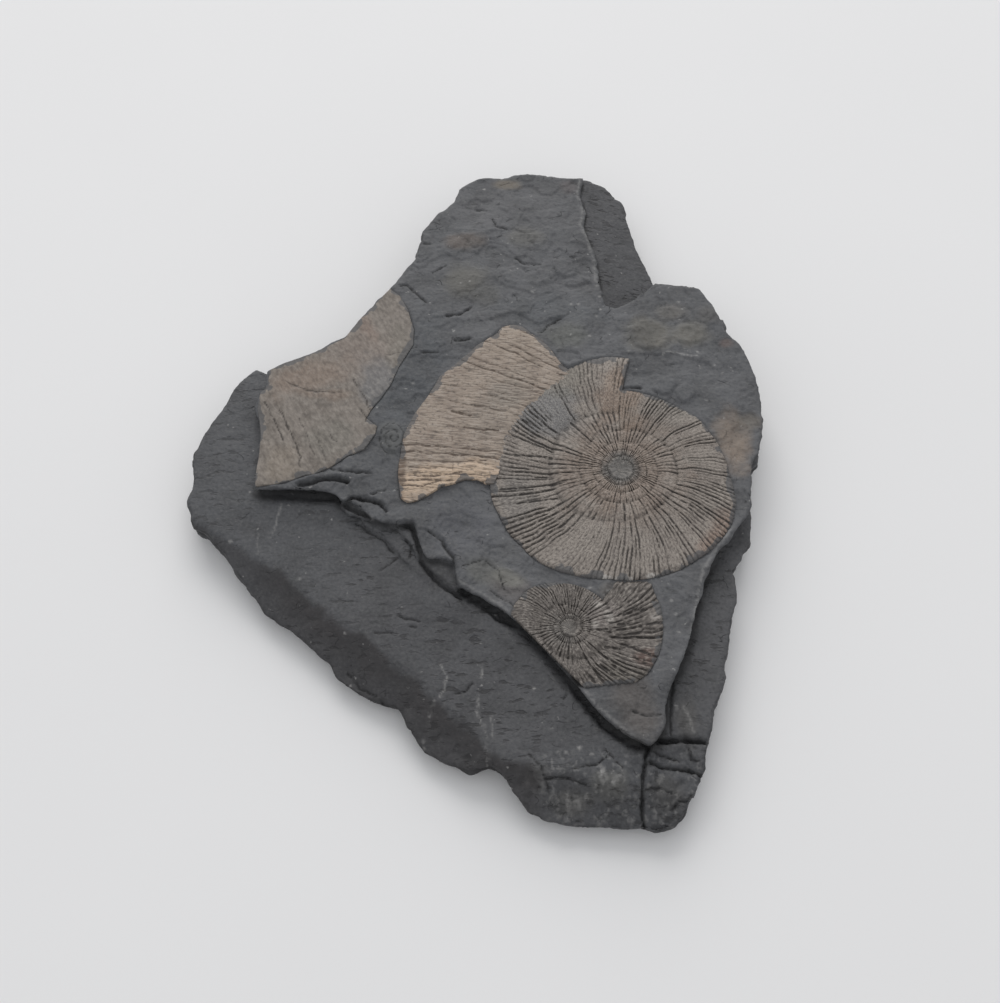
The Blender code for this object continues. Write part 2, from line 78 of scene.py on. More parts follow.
# %% Shader expressions
class Value:
    def __init__(self, sheet, socket):
        self.sheet = sheet
        self.socket = socket

    def maths(self, operation, *others):
        return self.sheet.node("Math", {"operation": operation}, self, *others)

    def __add__(self, other):
        return self.maths("ADD", other)

    def __sub__(self, other):
        return self.maths("SUBTRACT", other)

    def __rsub__(self, other):
        return self.sheet.node("Math", {"operation": "SUBTRACT"}, other, self)

    def __mul__(self, other):
        return self.maths("MULTIPLY", other)

    def at_most(self, other):
        return self.maths("MINIMUM", other)

    def rises(self, low, high):
        """0 below low, 1 above high and a soft step between; high may be the smaller one."""
        settings = {"interpolation_type": "SMOOTHSTEP"}
        if low <= high:
            return self.sheet.node("MapRange", settings, self, low, high, 0.0, 1.0)
        return self.sheet.node("MapRange", settings, self, high, low, 1.0, 0.0)

    __radd__ = __add__
    __rmul__ = __mul__


STAIN_LEVEL = 14.0
STAIN_DEPTH = 40.0
STAIN_GRAIN = 2.5


class Sheet:
    def __init__(self, name):
        self.material = bpy.data.materials.new(name)
        self.material.use_nodes = True
        self.tree = self.material.node_tree
        self.shader = self.tree.nodes["Principled BSDF"]
        metres = self.node("TexCoord", output="Object")
        self.mm = self.node("VectorMath", {"operation": "MULTIPLY"}, metres, [1000.0] * 3)

    def node(self, kind, settings=None, *values, output=0, **named):
        made = self.tree.nodes.new("ShaderNode" + kind)
        for key, setting in (settings or {}).items():
            setattr(made, key, setting)
        for socket, value in zip([socket for socket in made.inputs if socket.enabled], values):
            self.plug(value, socket)
        for key, value in named.items():
            self.plug(value, made.inputs[key])
        if isinstance(output, str):
            return Value(self, made.outputs[output])
        return Value(self, [socket for socket in made.outputs if socket.enabled][output])

    def plug(self, value, socket):
        if isinstance(value, Value):
            self.tree.links.new(value.socket, socket)
        elif value is not None:
            socket.default_value = value

    def mix(self, factor, low, high):
        colours = [(*c, 1.0) if isinstance(c, tuple) else c for c in (low, high)]
        return self.node("Mix", {"data_type": "RGBA"}, factor, *colours)

    def cloud(self, size, detail=3.0, stretch=None):
        """Soft noise from 0 to 1 whose blotches are about size mm across."""
        where = self.mm
        if stretch:
            where = self.node("VectorMath", {"operation": "MULTIPLY"}, where, stretch)
        return self.node("TexNoise", {"noise_dimensions": "3D"}, where, 0.5 / size, detail)

    def tone(self, name):
        """A number kept on the points of the mesh, such as the depth of a groove."""
        return self.node("Attribute", {"attribute_name": name}, output="Fac")

    def blot(self, centre, radii, turn, ragged):
        """A stain: 1 inside an ellipse seen from above, 0 outside, with a ragged edge."""
        local = self.node("Mapping", {"vector_type": "TEXTURE"}, self.mm, (*centre, STAIN_LEVEL),
                          (0.0, 0.0, math.radians(turn)), (*radii, STAIN_DEPTH))
        reach = self.node("VectorMath", {"operation": "LENGTH"}, local, output="Value")
        edge = reach + (self.cloud(STAIN_GRAIN, 5.0) - 0.5) * (3.2 * ragged)
        return edge.rises(1.35, 0.45)

    def stains(self, colour, rows, ragged):
        """Lay stains over a colour; each row is centre, radii, turn, tint and strength."""
        return self.coats(colour, [(self.blot(centre, radii, turn, ragged) * strength, tint)
                                   for centre, radii, turn, tint, strength in rows])

    def coats(self, colour, layers):
        """Lay tints over a colour, one after the other, each where its mask is above 0."""
        for mask, tint in layers:
            colour = self.mix(mask, colour, tint)
        return colour

    def finish(self, colour, roughness, bump_height, bump_depth):
        self.plug(colour, self.shader.inputs["Base Color"])
        self.plug(roughness, self.shader.inputs["Roughness"])
        bump = self.node("Bump", None, Distance=bump_depth * MM, Height=bump_height)
        self.plug(bump, self.shader.inputs["Normal"])
        return self.material


# %% [markdown]
# The room: a plain pale table top and plain soft studio light. The light comes from behind and
# above, so the steps that face the front lie in shade and the slab throws a soft shadow forwards.

# %% Table and lights
TABLE_WIDTH = 3.0
SKY_COLOUR = (0.97, 0.985, 1.0, 1.0)
SKY_STRENGTH = 0.66

bpy.ops.mesh.primitive_plane_add(size=TABLE_WIDTH)
table = bpy.context.object
table.name = "table_top"
table_sheet = Sheet("pale_table")
table_sheet.shader.inputs["Roughness"].default_value = 0.8
table_sheet.plug(
    table_sheet.mix(table_sheet.cloud(60.0, 2.0), (0.79, 0.785, 0.79), (0.82, 0.815, 0.82)),
    table_sheet.shader.inputs["Base Color"],
)
table.data.materials.append(table_sheet.material)

world = bpy.data.worlds.new("studio")
bpy.context.scene.world = world
world.use_nodes = True
background = world.node_tree.nodes["Background"]
background.inputs["Color"].default_value = SKY_COLOUR
background.inputs["Strength"].default_value = SKY_STRENGTH


def soft_light(name, place, size, power, colour):
    """Square lamp that faces the middle of the table."""
    light = bpy.data.lights.new(name, "AREA")
    light.size = size
    light.energy = power
    light.color = colour
    lamp = bpy.data.objects.new(name, light)
    lamp.location = place
    lamp.rotation_euler = (-Vector(place)).to_track_quat("-Z", "Y").to_euler()
    bpy.context.collection.objects.link(lamp)


soft_light("key_light", place=(-0.18, 2.52, 1.44), size=2.34, power=55.0, colour=(1.0, 0.99, 0.97))
bpy.context.scene.view_settings.view_transform = "Standard"
print("table", TABLE_WIDTH, "m wide, lights:", [light.name for light in bpy.data.lights])

# %% [markdown]
# The outlines. A slab like this breaks along its beds, so each bed has an outline of its own. They
# run counter-clockwise, seen from above.

# %% Broken outlines of the beds
RIM = [
    (-73.8, -12.1), (-71.8, -18.5), (-68.5, -20.0), (-64.0, -25.2), (-59.5, -31.7), (-53.8, -38.9),
    (-51.9, -41.1), (-45.4, -45.9), (-41.2, -49.7), (-35.8, -54.4), (-34.7, -56.5), (-33.9, -58.0),
    (-31.6, -59.8), (-28.4, -62.1), (-24.2, -64.4), (-18.7, -66.0), (-17.2, -68.2), (-15.4, -71.7),
    (-13.7, -74.9), (-12.0, -76.9), (-7.7, -79.1), (-3.3, -81.0), (-1.4, -81.7), (1.4, -80.8),
    (3.2, -80.5), (5.3, -81.7), (6.7, -82.9), (8.3, -85.3), (10.2, -88.2), (12.0, -91.0),
    (15.8, -92.8), (20.4, -94.2), (24.2, -94.6), (28.3, -94.5), (33.3, -94.9), (37.4, -94.9),
    (40.7, -95.6), (43.7, -95.1), (45.3, -94.6), (47.0, -92.7), (48.5, -89.9), (50.1, -87.3),
    (51.6, -83.9), (52.7, -80.5), (53.5, -75.8), (54.9, -72.2), (55.4, -68.4), (56.3, -66.2),
    (57.2, -64.7), (59.0, -59.6), (58.7, -57.5), (59.7, -53.9), (60.7, -50.5), (61.9, -44.1),
    (63.0, -40.0), (63.3, -35.9), (63.0, -32.9), (62.6, -30.9), (64.4, -29.2), (66.3, -25.5),
    (68.2, -22.9), (69.0, -19.0), (69.2, -14.6), (68.8, -10.3), (69.6, -6.7), (69.3, -4.3),
    (70.0, -2.2), (72.3, 0.2), (72.9, 4.1), (73.5, 7.8), (74.1, 10.9), (74.3, 15.6), (74.1, 19.1),
    (73.6, 22.0), (73.0, 26.8), (71.7, 31.1), (70.2, 35.1), (68.5, 37.4), (66.6, 40.1),
    (66.0, 42.8), (64.9, 45.9), (63.7, 48.6), (62.0, 51.7), (61.0, 55.0), (57.2, 55.7),
    (53.3, 56.4), (48.8, 58.3), (48.3, 61.6), (46.6, 66.3), (45.3, 69.6), (44.1, 72.9),
    (42.9, 78.5), (41.5, 84.9), (40.5, 88.0), (36.2, 92.8), (31.1, 94.3), (28.7, 93.7),
    (23.0, 94.1), (17.2, 95.3), (13.1, 95.1), (9.9, 94.9), (7.6, 93.7), (5.6, 93.4), (1.2, 93.7),
    (-1.7, 93.0), (-4.3, 91.4), (-6.0, 89.9), (-6.8, 88.0), (-7.3, 85.3), (-10.1, 81.5),
    (-12.1, 80.8), (-14.3, 77.1), (-16.7, 73.4), (-16.4, 70.8), (-16.9, 68.6), (-17.9, 63.9),
    (-18.9, 61.8), (-20.8, 58.9), (-22.9, 55.8), (-24.7, 53.3), (-27.8, 49.2), (-30.1, 45.7),
    (-32.4, 43.0), (-34.9, 39.0), (-36.1, 36.6), (-41.3, 33.3), (-44.6, 31.3), (-47.8, 30.0),
    (-51.6, 28.4), (-56.0, 26.1), (-59.5, 28.0), (-61.5, 26.4), (-62.8, 25.1), (-65.4, 21.2),
    (-67.3, 16.1), (-68.9, 13.2), (-70.2, 10.4), (-72.1, 6.1), (-73.3, 1.8), (-73.8, -1.3),
    (-72.9, -5.5), (-73.3, -9.7),
]
PLATE = [
    (-55.9, 25.3), (-55.7, 19.8), (-57.5, 18.1), (-57.9, 14.2), (-56.9, 9.5), (-56.0, 4.3),
    (-56.2, -0.6), (-56.4, -5.7), (-56.4, -10.5), (-51.1, -10.8), (-46.0, -10.8), (-41.2, -11.1),
    (-37.4, -11.7), (-35.3, -12.9), (-34.3, -14.2), (-32.9, -14.6), (-32.0, -13.9), (-28.9, -16.2),
    (-26.3, -18.8), (-23.5, -19.9), (-19.7, -20.5), (-15.7, -20.3), (-15.0, -22.7), (-14.3, -25.0),
    (-13.1, -28.3), (-11.8, -30.4), (-10.1, -30.1), (-7.6, -30.8), (-5.7, -31.6), (-5.1, -34.4),
    (-4.3, -38.5), (-2.6, -38.9), (-1.2, -39.8), (1.0, -41.1), (3.2, -42.7), (4.8, -43.5),
    (6.5, -45.0), (8.4, -46.6), (10.3, -48.0), (12.7, -50.6), (16.2, -55.0), (18.0, -56.8),
    (19.8, -59.6), (21.9, -62.1), (23.9, -64.5), (25.7, -67.1), (27.5, -69.4), (29.9, -72.2),
    (32.5, -74.5), (35.2, -76.5), (37.6, -77.6), (39.6, -78.7), (41.3, -77.5), (43.1, -74.1),
    (43.8, -69.5), (45.0, -65.1), (46.5, -61.3), (48.9, -56.5), (50.9, -51.4), (52.4, -45.4),
    (53.4, -41.9), (54.7, -36.8), (57.3, -32.2), (59.5, -28.3), (61.7, -25.5), (63.7, -23.0),
    (65.6, -20.2), (67.1, -18.2), (68.5, -15.0), (68.5, -11.1), (69.3, -7.6), (68.9, -5.3),
    (69.6, -3.2), (71.8, -0.8), (72.5, 3.2), (73.1, 6.8), (73.6, 9.9), (73.8, 14.6), (73.6, 18.1),
    (73.1, 20.9), (72.5, 25.8), (71.3, 30.0), (69.8, 34.0), (68.1, 36.3), (66.1, 39.0),
    (65.6, 41.6), (64.4, 44.7), (63.3, 47.4), (61.6, 50.5), (60.3, 52.8), (56.7, 53.5),
    (52.9, 54.2), (48.3, 54.9), (46.2, 52.6), (43.9, 50.2), (40.5, 48.1), (37.2, 46.1),
    (34.5, 47.1), (33.5, 50.5), (32.6, 55.8), (32.3, 62.5), (30.6, 69.7), (28.8, 75.6),
    (29.8, 80.8), (28.3, 86.8), (29.2, 93.4), (22.9, 93.7), (17.2, 94.9), (13.1, 94.7),
    (9.9, 94.5), (7.6, 93.4), (5.6, 93.0), (1.2, 93.4), (-1.7, 92.6), (-4.2, 91.0), (-5.8, 89.5),
    (-6.6, 87.6), (-7.2, 84.9), (-10.0, 81.2), (-11.9, 80.4), (-14.1, 76.7), (-16.6, 73.0),
    (-16.2, 70.6), (-16.7, 68.5), (-17.7, 63.8), (-18.8, 61.6), (-20.6, 58.8), (-22.7, 55.6),
    (-24.5, 53.2), (-27.6, 49.0), (-29.9, 45.6), (-32.3, 42.9), (-34.7, 38.8), (-36.0, 36.5),
    (-41.3, 33.0), (-44.6, 31.0), (-47.7, 29.7), (-51.6, 28.1),
]
FOOT = [
    (-58, -12), (-46, -30), (-26, -48), (-10, -62), (8, -70), (34, -76), (42, -66), (48, -46),
    (52, -28), (56, -8), (60, 12), (56, 32), (44, 46), (36, 66), (24, 80), (4, 80), (-4, 68),
    (-14, 48), (-26, 34), (-44, 22), (-56, 14),
]
HIGH_STEP = [
    (-34.5, -15.0), (-32.5, -17.2), (-29.0, -18.4), (-23.5, -20.6), (-19.5, -22.5), (-17.0, -25.0),
    (-15.2, -28.5), (-12.0, -32.5), (-7.6, -36.2), (-5.0, -39.2), (-2.5, -36), (-8, -26),
    (-12, -14), (-24, -8), (-33, -8),
]
LOW_STEP = [
    (-30.0, -17.5), (-28.0, -20.4), (-24.3, -22.1), (-21.5, -25.2), (-17.4, -30.5), (-14.0, -33.4),
    (-9.5, -37.8), (-5.6, -40.2), (-2, -37), (-8, -24), (-14, -12), (-26, -10),
]
CREST = [
    (-75.0, -14.0), (-63.6, -21.9), (-55.1, -27.5), (-46.9, -33.1), (-39.0, -40.7), (-33.7, -45.0),
    (-31.4, -46.1), (-26.9, -49.3), (-22.4, -53.2), (-15.5, -58.9), (-9.9, -65.2), (-5.6, -68.9),
    (-0.7, -72.6), (4.0, -77.7), (14.0, -82.0), (26.0, -84.5), (39.0, -86.0),
]
print(len(RIM), "rim points,", len(PLATE), "points round the upper bed")

# %% [markdown]
# Helpers for plan shapes, in numpy so that they work on all the points of a mesh at once. The
# distance from an outline or a line is all that a step, a pit or a crack needs.

# %% Distances in plan
def to_line(points, line, closed=False):
    """Distance of each point from a line, and its side of the line: above 0 on the left."""
    ends = np.array(line, float)
    starts = ends if closed else ends[:-1]
    stops = np.roll(ends, -1, axis=0) if closed else ends[1:]
    nearest = np.full(len(points), 1e9)
    side = np.zeros(len(points))
    for start, stop in zip(starts, stops):
        run = stop - start
        to_point = points - start
        share = np.clip(to_point @ run / max(run @ run, 1e-9), 0.0, 1.0)
        gap = to_point - share[:, None] * run
        distance = np.hypot(gap[:, 0], gap[:, 1])
        closer = distance < nearest
        nearest[closer] = distance[closer]
        side[closer] = (run[0] * to_point[:, 1] - run[1] * to_point[:, 0])[closer]
    return nearest, side


def inside(points, outline):
    """Distance from an outline, positive inside it."""
    distance, _ = to_line(points, outline, closed=True)
    x, y = points[:, 0], points[:, 1]
    within = np.zeros(len(points), bool)
    for (ax, ay), (bx, by) in zip(outline, outline[1:] + outline[:1]):
        crosses = (ay > y) != (by > y)
        level = (bx - ax) * (y - ay) / ((by - ay) or 1e-9) + ax
        within ^= crosses & (x < level)
    return np.where(within, distance, -distance)


def step(low, high, values):
    """Soft step from 0 at low to 1 at high."""
    share = np.clip((values - low) / (high - low), 0.0, 1.0)
    return share * share * (3.0 - 2.0 * share)


def bell(distance, width):
    """1 on a line, and fading to 0 beyond a width to either side."""
    return np.exp(-(distance / width) ** 2)


def lumps(points, size, seed=0.0, octaves=1):
    """Soft noise from about -1 to 1 with lumps of the given size, for each row of points."""
    scaled = points / size
    if scaled.shape[1] == 2:
        scaled = np.column_stack([scaled, np.full(len(scaled), seed)])
    else:
        scaled = scaled + seed
    if octaves == 1:
        return np.array([noise.noise(Vector(point)) for point in scaled])
    return np.array([noise.fractal(Vector(point), 0.9, 2.1, octaves) for point in scaled])


# %% [markdown]
# The levels of the two bedding planes. The lower one is nearly flat, and beyond a crest it falls
# steeply to the rim. On the right it is a smooth ledge, and at the upper right a smooth facet.

# %% Levels of the beds
PLATE_TOP = 13.9
BED_LEVEL = 10.2
LEDGE_LEVEL = 9.6
FACET_LEVEL = 12.6
RIM_LEVEL = 4.2
SLOPE_BEYOND_CREST = 0.5
LEFT_FOOT = [(-54.0, -10.6), (-46.0, -10.8), (-37.0, -11.6)]
RIGHT_FOOT = [point for point in PLATE if -8.0 < point[0] < 38.0 and point[1] < -30.0]


def beyond_crest(points):
    """How far each point lies outside the crest, where the bed bends down to the rim."""
    distance, side = to_line(points, CREST)
    return np.where(side < 0.0, distance, 0.0)


def foot_of_cliff(points):
    """The lower bed rises towards the cliff, and a narrow gap runs along the foot."""
    left, _ = to_line(points, LEFT_FOOT)
    right, _ = to_line(points, RIGHT_FOOT)
    rise = 0.8 * bell(left, 6.0) + 1.5 * bell(right, 8.0)
    return rise - 1.6 * bell(left, 1.3) - 2.0 * bell(right, 1.2)


def body_level(points):
    """The lower bed, which dips gently outwards, with its ledge and its facet."""
    x, y = points[:, 0], points[:, 1]
    outward = -0.641 * x - 0.767 * y
    level = BED_LEVEL - 0.04 * (outward - 33.0)
    level += foot_of_cliff(points) - SLOPE_BEYOND_CREST * beyond_crest(points)
    ledge = LEDGE_LEVEL - 0.06 * (x - 45.0) - 0.25 * np.maximum(0.0, -80.0 - y)
    level = np.where((x > 40.6) & (y < 40.0), ledge, level)
    facet = FACET_LEVEL - 0.3 * (x - 29.0)
    level = np.where((x > 22.0) & (y > 44.0), facet, level)
    return np.minimum(np.maximum(level, RIM_LEVEL), PLATE_TOP - 1.0)


def plate_level(points):
    """The upper bed, which is flat apart from a faint swell."""
    return PLATE_TOP + 0.25 * lumps(points, 22.0, 22.0)


sample = body_level(np.array([(-30.0, -35.0), (60.0, -30.0), (35.0, 80.0)]))
print("bed, ledge and facet at", sample.round(2).tolist(), "mm")


# %% [markdown]
# Blocks of shale. A bed starts as one face with the bed's outline. Bisecting it along a grid gives
# it points to bend with, and its rim is extruded down to close it. Many beds overlap, and a voxel
# remesh later joins them to one skin, so none of them has to fit its neighbours.

# %% Bed makers
def extrude_rim(bm):
    """Extrude the open rim of a surface and give back the new points."""
    rim = [edge for edge in bm.edges if edge.is_boundary]
    skirt = bmesh.ops.extrude_edge_only(bm, edges=rim)["geom"]
    return [item for item in skirt if isinstance(item, bmesh.types.BMVert)]


def close_bottom(bm):
    bmesh.ops.holes_fill(bm, edges=[edge for edge in bm.edges if edge.is_boundary])
    bmesh.ops.recalc_face_normals(bm, faces=bm.faces[:])


def bed(outline, level, cell, rings):
    """Closed block whose top follows a level function.

    The cell is the size of the grid, and each ring below is (height, size about the middle).
    """
    bm = bmesh.new()
    face = bm.faces.new([bm.verts.new((x, y, 0.0)) for x, y in outline])
    bmesh.ops.triangulate(bm, faces=[face])
    corners = np.array(outline, float)
    for axis in (0, 1):
        low, high = corners[:, axis].min(), corners[:, axis].max()
        normal = Vector((1.0 - axis, float(axis), 0.0))
        for place in np.arange(low + 0.5 * cell, high, cell):
            geom = bm.verts[:] + bm.edges[:] + bm.faces[:]
            bmesh.ops.bisect_plane(bm, geom=geom, plane_co=normal * place, plane_no=normal,
                                   dist=0.02)
    plan = np.array([vert.co.xy[:] for vert in bm.verts])
    for vert, height in zip(bm.verts, level(plan)):
        vert.co.z = height
    middle = Vector((*corners.mean(axis=0), 0.0))
    for height, size in rings:
        for vert in extrude_rim(bm):
            vert.co.x = middle.x + (vert.co.x - middle.x) * size
            vert.co.y = middle.y + (vert.co.y - middle.y) * size
            vert.co.z = height
    close_bottom(bm)
    return bm


def flat(height):
    return lambda points: np.full(len(points), height)


def add_to(bm, piece):
    """Put a finished block into another bmesh."""
    mesh = bpy.data.meshes.new("bed")
    piece.to_mesh(mesh)
    piece.free()
    bm.from_mesh(mesh)
    bpy.data.meshes.remove(mesh)


# %% [markdown]
# The joined slab. The upper bed is two blocks: a thin lip with the full outline, and a core that
# is cut back under it. Along the cliff the real bed overhangs a deep black gap, so the core is cut
# back much further there than at the other sides. A voxel remesh makes one skin of all the blocks.

# %% Join the beds
CORE = [
    (-54.5, 24.0), (-55.5, 14.0), (-54.8, 4.0), (-54.4, -5.0), (-50.0, -6.8), (-42.0, -6.0),
    (-34.0, -8.5), (-26.0, -12.0), (-19.0, -14.0), (-10.5, -20.0), (-7.5, -25.5), (-1.5, -32.5),
    (4.0, -37.5), (8.5, -41.5), (13.5, -47.0), (20.5, -55.5), (28.0, -64.5), (34.5, -71.5),
    (38.0, -73.5), (41.0, -71.0), (44.0, -63.0), (49.0, -52.5), (52.4, -41.0), (55.5, -33.5),
    (61.0, -24.5), (66.8, -16.5), (68.0, -9.0), (70.5, 0.0), (72.6, 14.0), (71.4, 25.5),
    (67.0, 36.5), (63.3, 45.0), (59.4, 51.4), (48.8, 53.6), (44.5, 49.0), (37.3, 44.8),
    (33.4, 46.0), (32.2, 50.5), (31.0, 62.4), (27.6, 75.6), (27.0, 86.8), (27.8, 92.2),
    (17.0, 93.4), (6.5, 92.2), (-3.5, 89.8), (-6.0, 84.0), (-13.5, 75.5), (-16.0, 67.0),
    (-20.0, 57.5), (-27.0, 48.0), (-35.5, 35.6), (-41.5, 31.8), (-51.0, 27.0),
]
COARSE_CELL = 40.0
VOXEL = 0.4
slab_bm = bmesh.new()
for outline, level, cell, rings in (
    (FOOT, flat(6.0), COARSE_CELL, [(0.0, 1.0)]),
    (RIM, body_level, 1.6, [(3.4, 1.0), (1.2, 0.93)]),
    (PLATE, plate_level, 3.0, [(12.8, 1.0)]),
    (CORE, flat(13.2), COARSE_CELL, [(4.0, 1.0)]),
    (HIGH_STEP, flat(12.3), COARSE_CELL, [(8.5, 1.0)]),
    (LOW_STEP, flat(11.2), COARSE_CELL, [(8.5, 1.0)]),
):
    add_to(slab_bm, bed(outline, level, cell, rings))
slab_mesh = bpy.data.meshes.new("shale_skin")
slab_bm.to_mesh(slab_mesh)
slab_bm.free()
slab = bpy.data.objects.new("shale_skin", slab_mesh)
bpy.context.collection.objects.link(slab)


def apply_modifiers(thing):
    """Turn an object's modifiers into mesh."""
    depsgraph = bpy.context.evaluated_depsgraph_get()
    solid = bpy.data.meshes.new_from_object(thing.evaluated_get(depsgraph))
    thing.modifiers.clear()
    old = thing.data
    thing.data = solid
    bpy.data.meshes.remove(old)


remesh = slab.modifiers.new("one skin", "REMESH")
remesh.mode = "VOXEL"
remesh.voxel_size = VOXEL
apply_modifiers(slab)
print("joined slab:", len(slab.data.polygons), "faces")

# %% [markdown]
# Marks. Slits, grooves and scratches all start as lines in the plan. They are drawn with a soft
# cross-section, and noise bends the plan first, so that none of them runs perfectly straight. The
# depth shapes the mesh, and the same number is kept as an attribute for the material.

# %% Marks in plan
def ragged(plan, amount, size):
    """The plan bent by noise, so that a mark drawn on it gets a ragged course."""
    bend = np.column_stack([lumps(plan, size, 11.0, 2), lumps(plan, size, 29.0, 2)])
    return plan + amount * bend


def lines_on(plan, lines):
    """Depth left by a set of lines, and how strongly each point belongs to one."""
    depth = np.zeros(len(plan))
    mark = np.zeros(len(plan))
    for line, width, strength in lines:
        corners = np.array(line)
        near = (np.abs(plan - (corners.min(axis=0) + corners.max(axis=0)) / 2)
                < (corners.max(axis=0) - corners.min(axis=0)) / 2 + 4.0).all(axis=1)
        distance, _ = to_line(plan[near], line)
        here = bell(distance, 0.52 * width)
        depth[near] = np.maximum(depth[near], strength * here)
        mark[near] = np.maximum(mark[near], here)
    return depth, mark


def read_points(mesh):
    """Places and normals of a mesh's points, one row each."""
    co = np.empty(len(mesh.vertices) * 3)
    normal = np.empty(len(mesh.vertices) * 3)
    mesh.vertices.foreach_get("co", co)
    mesh.vertices.foreach_get("normal", normal)
    return co.reshape(-1, 3), normal.reshape(-1, 3)


def add_tone(piece, name, values):
    attribute = piece.data.attributes.new(name, "FLOAT", "POINT")
    attribute.data.foreach_set("value", np.clip(values, 0.0, 1.0))


# %% [markdown]
# The coiled shells. Seen from above an ammonite is a spiral band: its outer edge, and the seam
# where the next turn starts, both shrink along the coil. A grid is bent to that band, one turn long
# and several whorls deep, so that its two ends meet and weld. The ribs are counted along the coil,
# and the grooves between them are cut by that count. Each point also keeps how deep its groove is
# as an attribute, so that the material can darken the same grooves that the mesh has. A UV map in
# millimetres, round the whorl and along its ribs, lets the material lay its fine ticks along them.
#
# First comes the law of the coil. Its two borders are read off at some angles from the mouth, and
# beyond the last one each turn is smaller than the one before by the same growth. A ring counts how
# far in a point lies: the last whorl has `cover` rings, and each whorl inside it has two.

# %% Law of the coil
class Coil:
    def __init__(self, centre, mouth, hand, outer, seam, growth, cover, ribs, lean):
        """Angles are in degrees; hand is 1 if it runs counter-clockwise from its mouth inwards."""
        self.centre = centre
        self.mouth = math.radians(mouth)
        self.hand = hand
        self.outer = np.array(outer, float)
        self.seam = np.array(seam, float)
        self.growth = growth
        self.cover = cover
        self.ribs = ribs
        self.lean = math.radians(lean)

    def seam_radius(self, turn):
        last, end = self.seam[-1]
        if turn * 360.0 <= last:
            return np.interp(turn * 360.0, *self.seam.T)
        return end * self.growth ** (last / 360.0 - turn)

    def radius(self, turn, ring):
        if ring <= self.cover:
            share = ring / self.cover
            edge, seam = np.interp(turn * 360.0, *self.outer.T), self.seam_radius(turn)
        else:
            whorl, share = divmod((ring - self.cover) / 2.0, 1.0)
            edge, seam = self.seam_radius(turn + whorl), self.seam_radius(turn + whorl + 1.0)
        return edge ** (1.0 - share) * seam ** share

    def place(self, turn, ring):
        """Place in plan. On the last whorl the ribs lean forwards and the edge is chipped."""
        lean = self.lean * max(0.0, 1.0 - (ring + 2.0 * turn) / self.cover) ** 1.3
        angle = self.mouth + self.hand * (2.0 * math.pi * turn - lean)
        radius = self.radius(turn, ring)
        chipped = noise.fractal(Vector((turn * 22.0, self.hand, 0.5)), 1.0, 2.0, 3)
        radius += 0.3 * chipped * max(0.0, 1.0 - ring - 2.0 * turn ** 8)
        return self.centre[0] + radius * math.cos(angle), self.centre[1] + radius * math.sin(angle)

    def band(self, ring):
        """Whorl that a ring belongs to, counted inwards, and its share across that whorl."""
        if ring < self.cover:
            return 0, ring / self.cover
        whorl, share = divmod((ring - self.cover) / 2.0, 1.0)
        return 1 + int(whorl), share


# %% [markdown]
# The ribs of a real shell are never all alike. The phase counts them along the coil, and a groove
# lies at each whole number. Each groove has its own strength and some gaps, from noise that is read
# by its number, and in the outer part of the last whorl every rib forks in two.

# %% Grooves between the ribs
def rib_groove(phase, across, whorl):
    """Depth, 0 to 1, of the groove beside a rib."""
    fork_share = 0.0 if whorl else max(0.0, min(1.0, (0.7 - across) / 0.15))
    wide = 0.2 if whorl else 0.09 + 0.08 * across
    depth = 0.0
    for shifted, width, share in ((phase, wide, 1.0), (phase + 0.5, 0.085, fork_share)):
        index = math.floor(shifted + 0.5)
        is_rib = float(share > 0.99)
        strength = 0.65 + 0.5 * noise.cell(Vector((index + 0.5, 7.5, is_rib)))
        gap = noise.noise(Vector((index * 3.7, across * 3.0, 5.0)))
        strength *= max(0.4, min(1.0, 1.0 + 1.2 * gap))
        depth = max(depth, math.exp(-((shifted - index) / width) ** 2) * strength * share)
    return depth


# %% [markdown]
# The surface itself is a flat grid whose points are moved onto the coil. One column runs inwards
# from the mouth. The last column lands two rings further in, on the points of the first one, where
# the doubles are merged. Cutting the ribs into the points is dearer than a bump in the material,
# but only real grooves have shaded sides from every view.

# %% Surface of a coil
RINGS_PER_WHORL = 2
INNER_STRENGTH = 0.75
WELD = 0.004


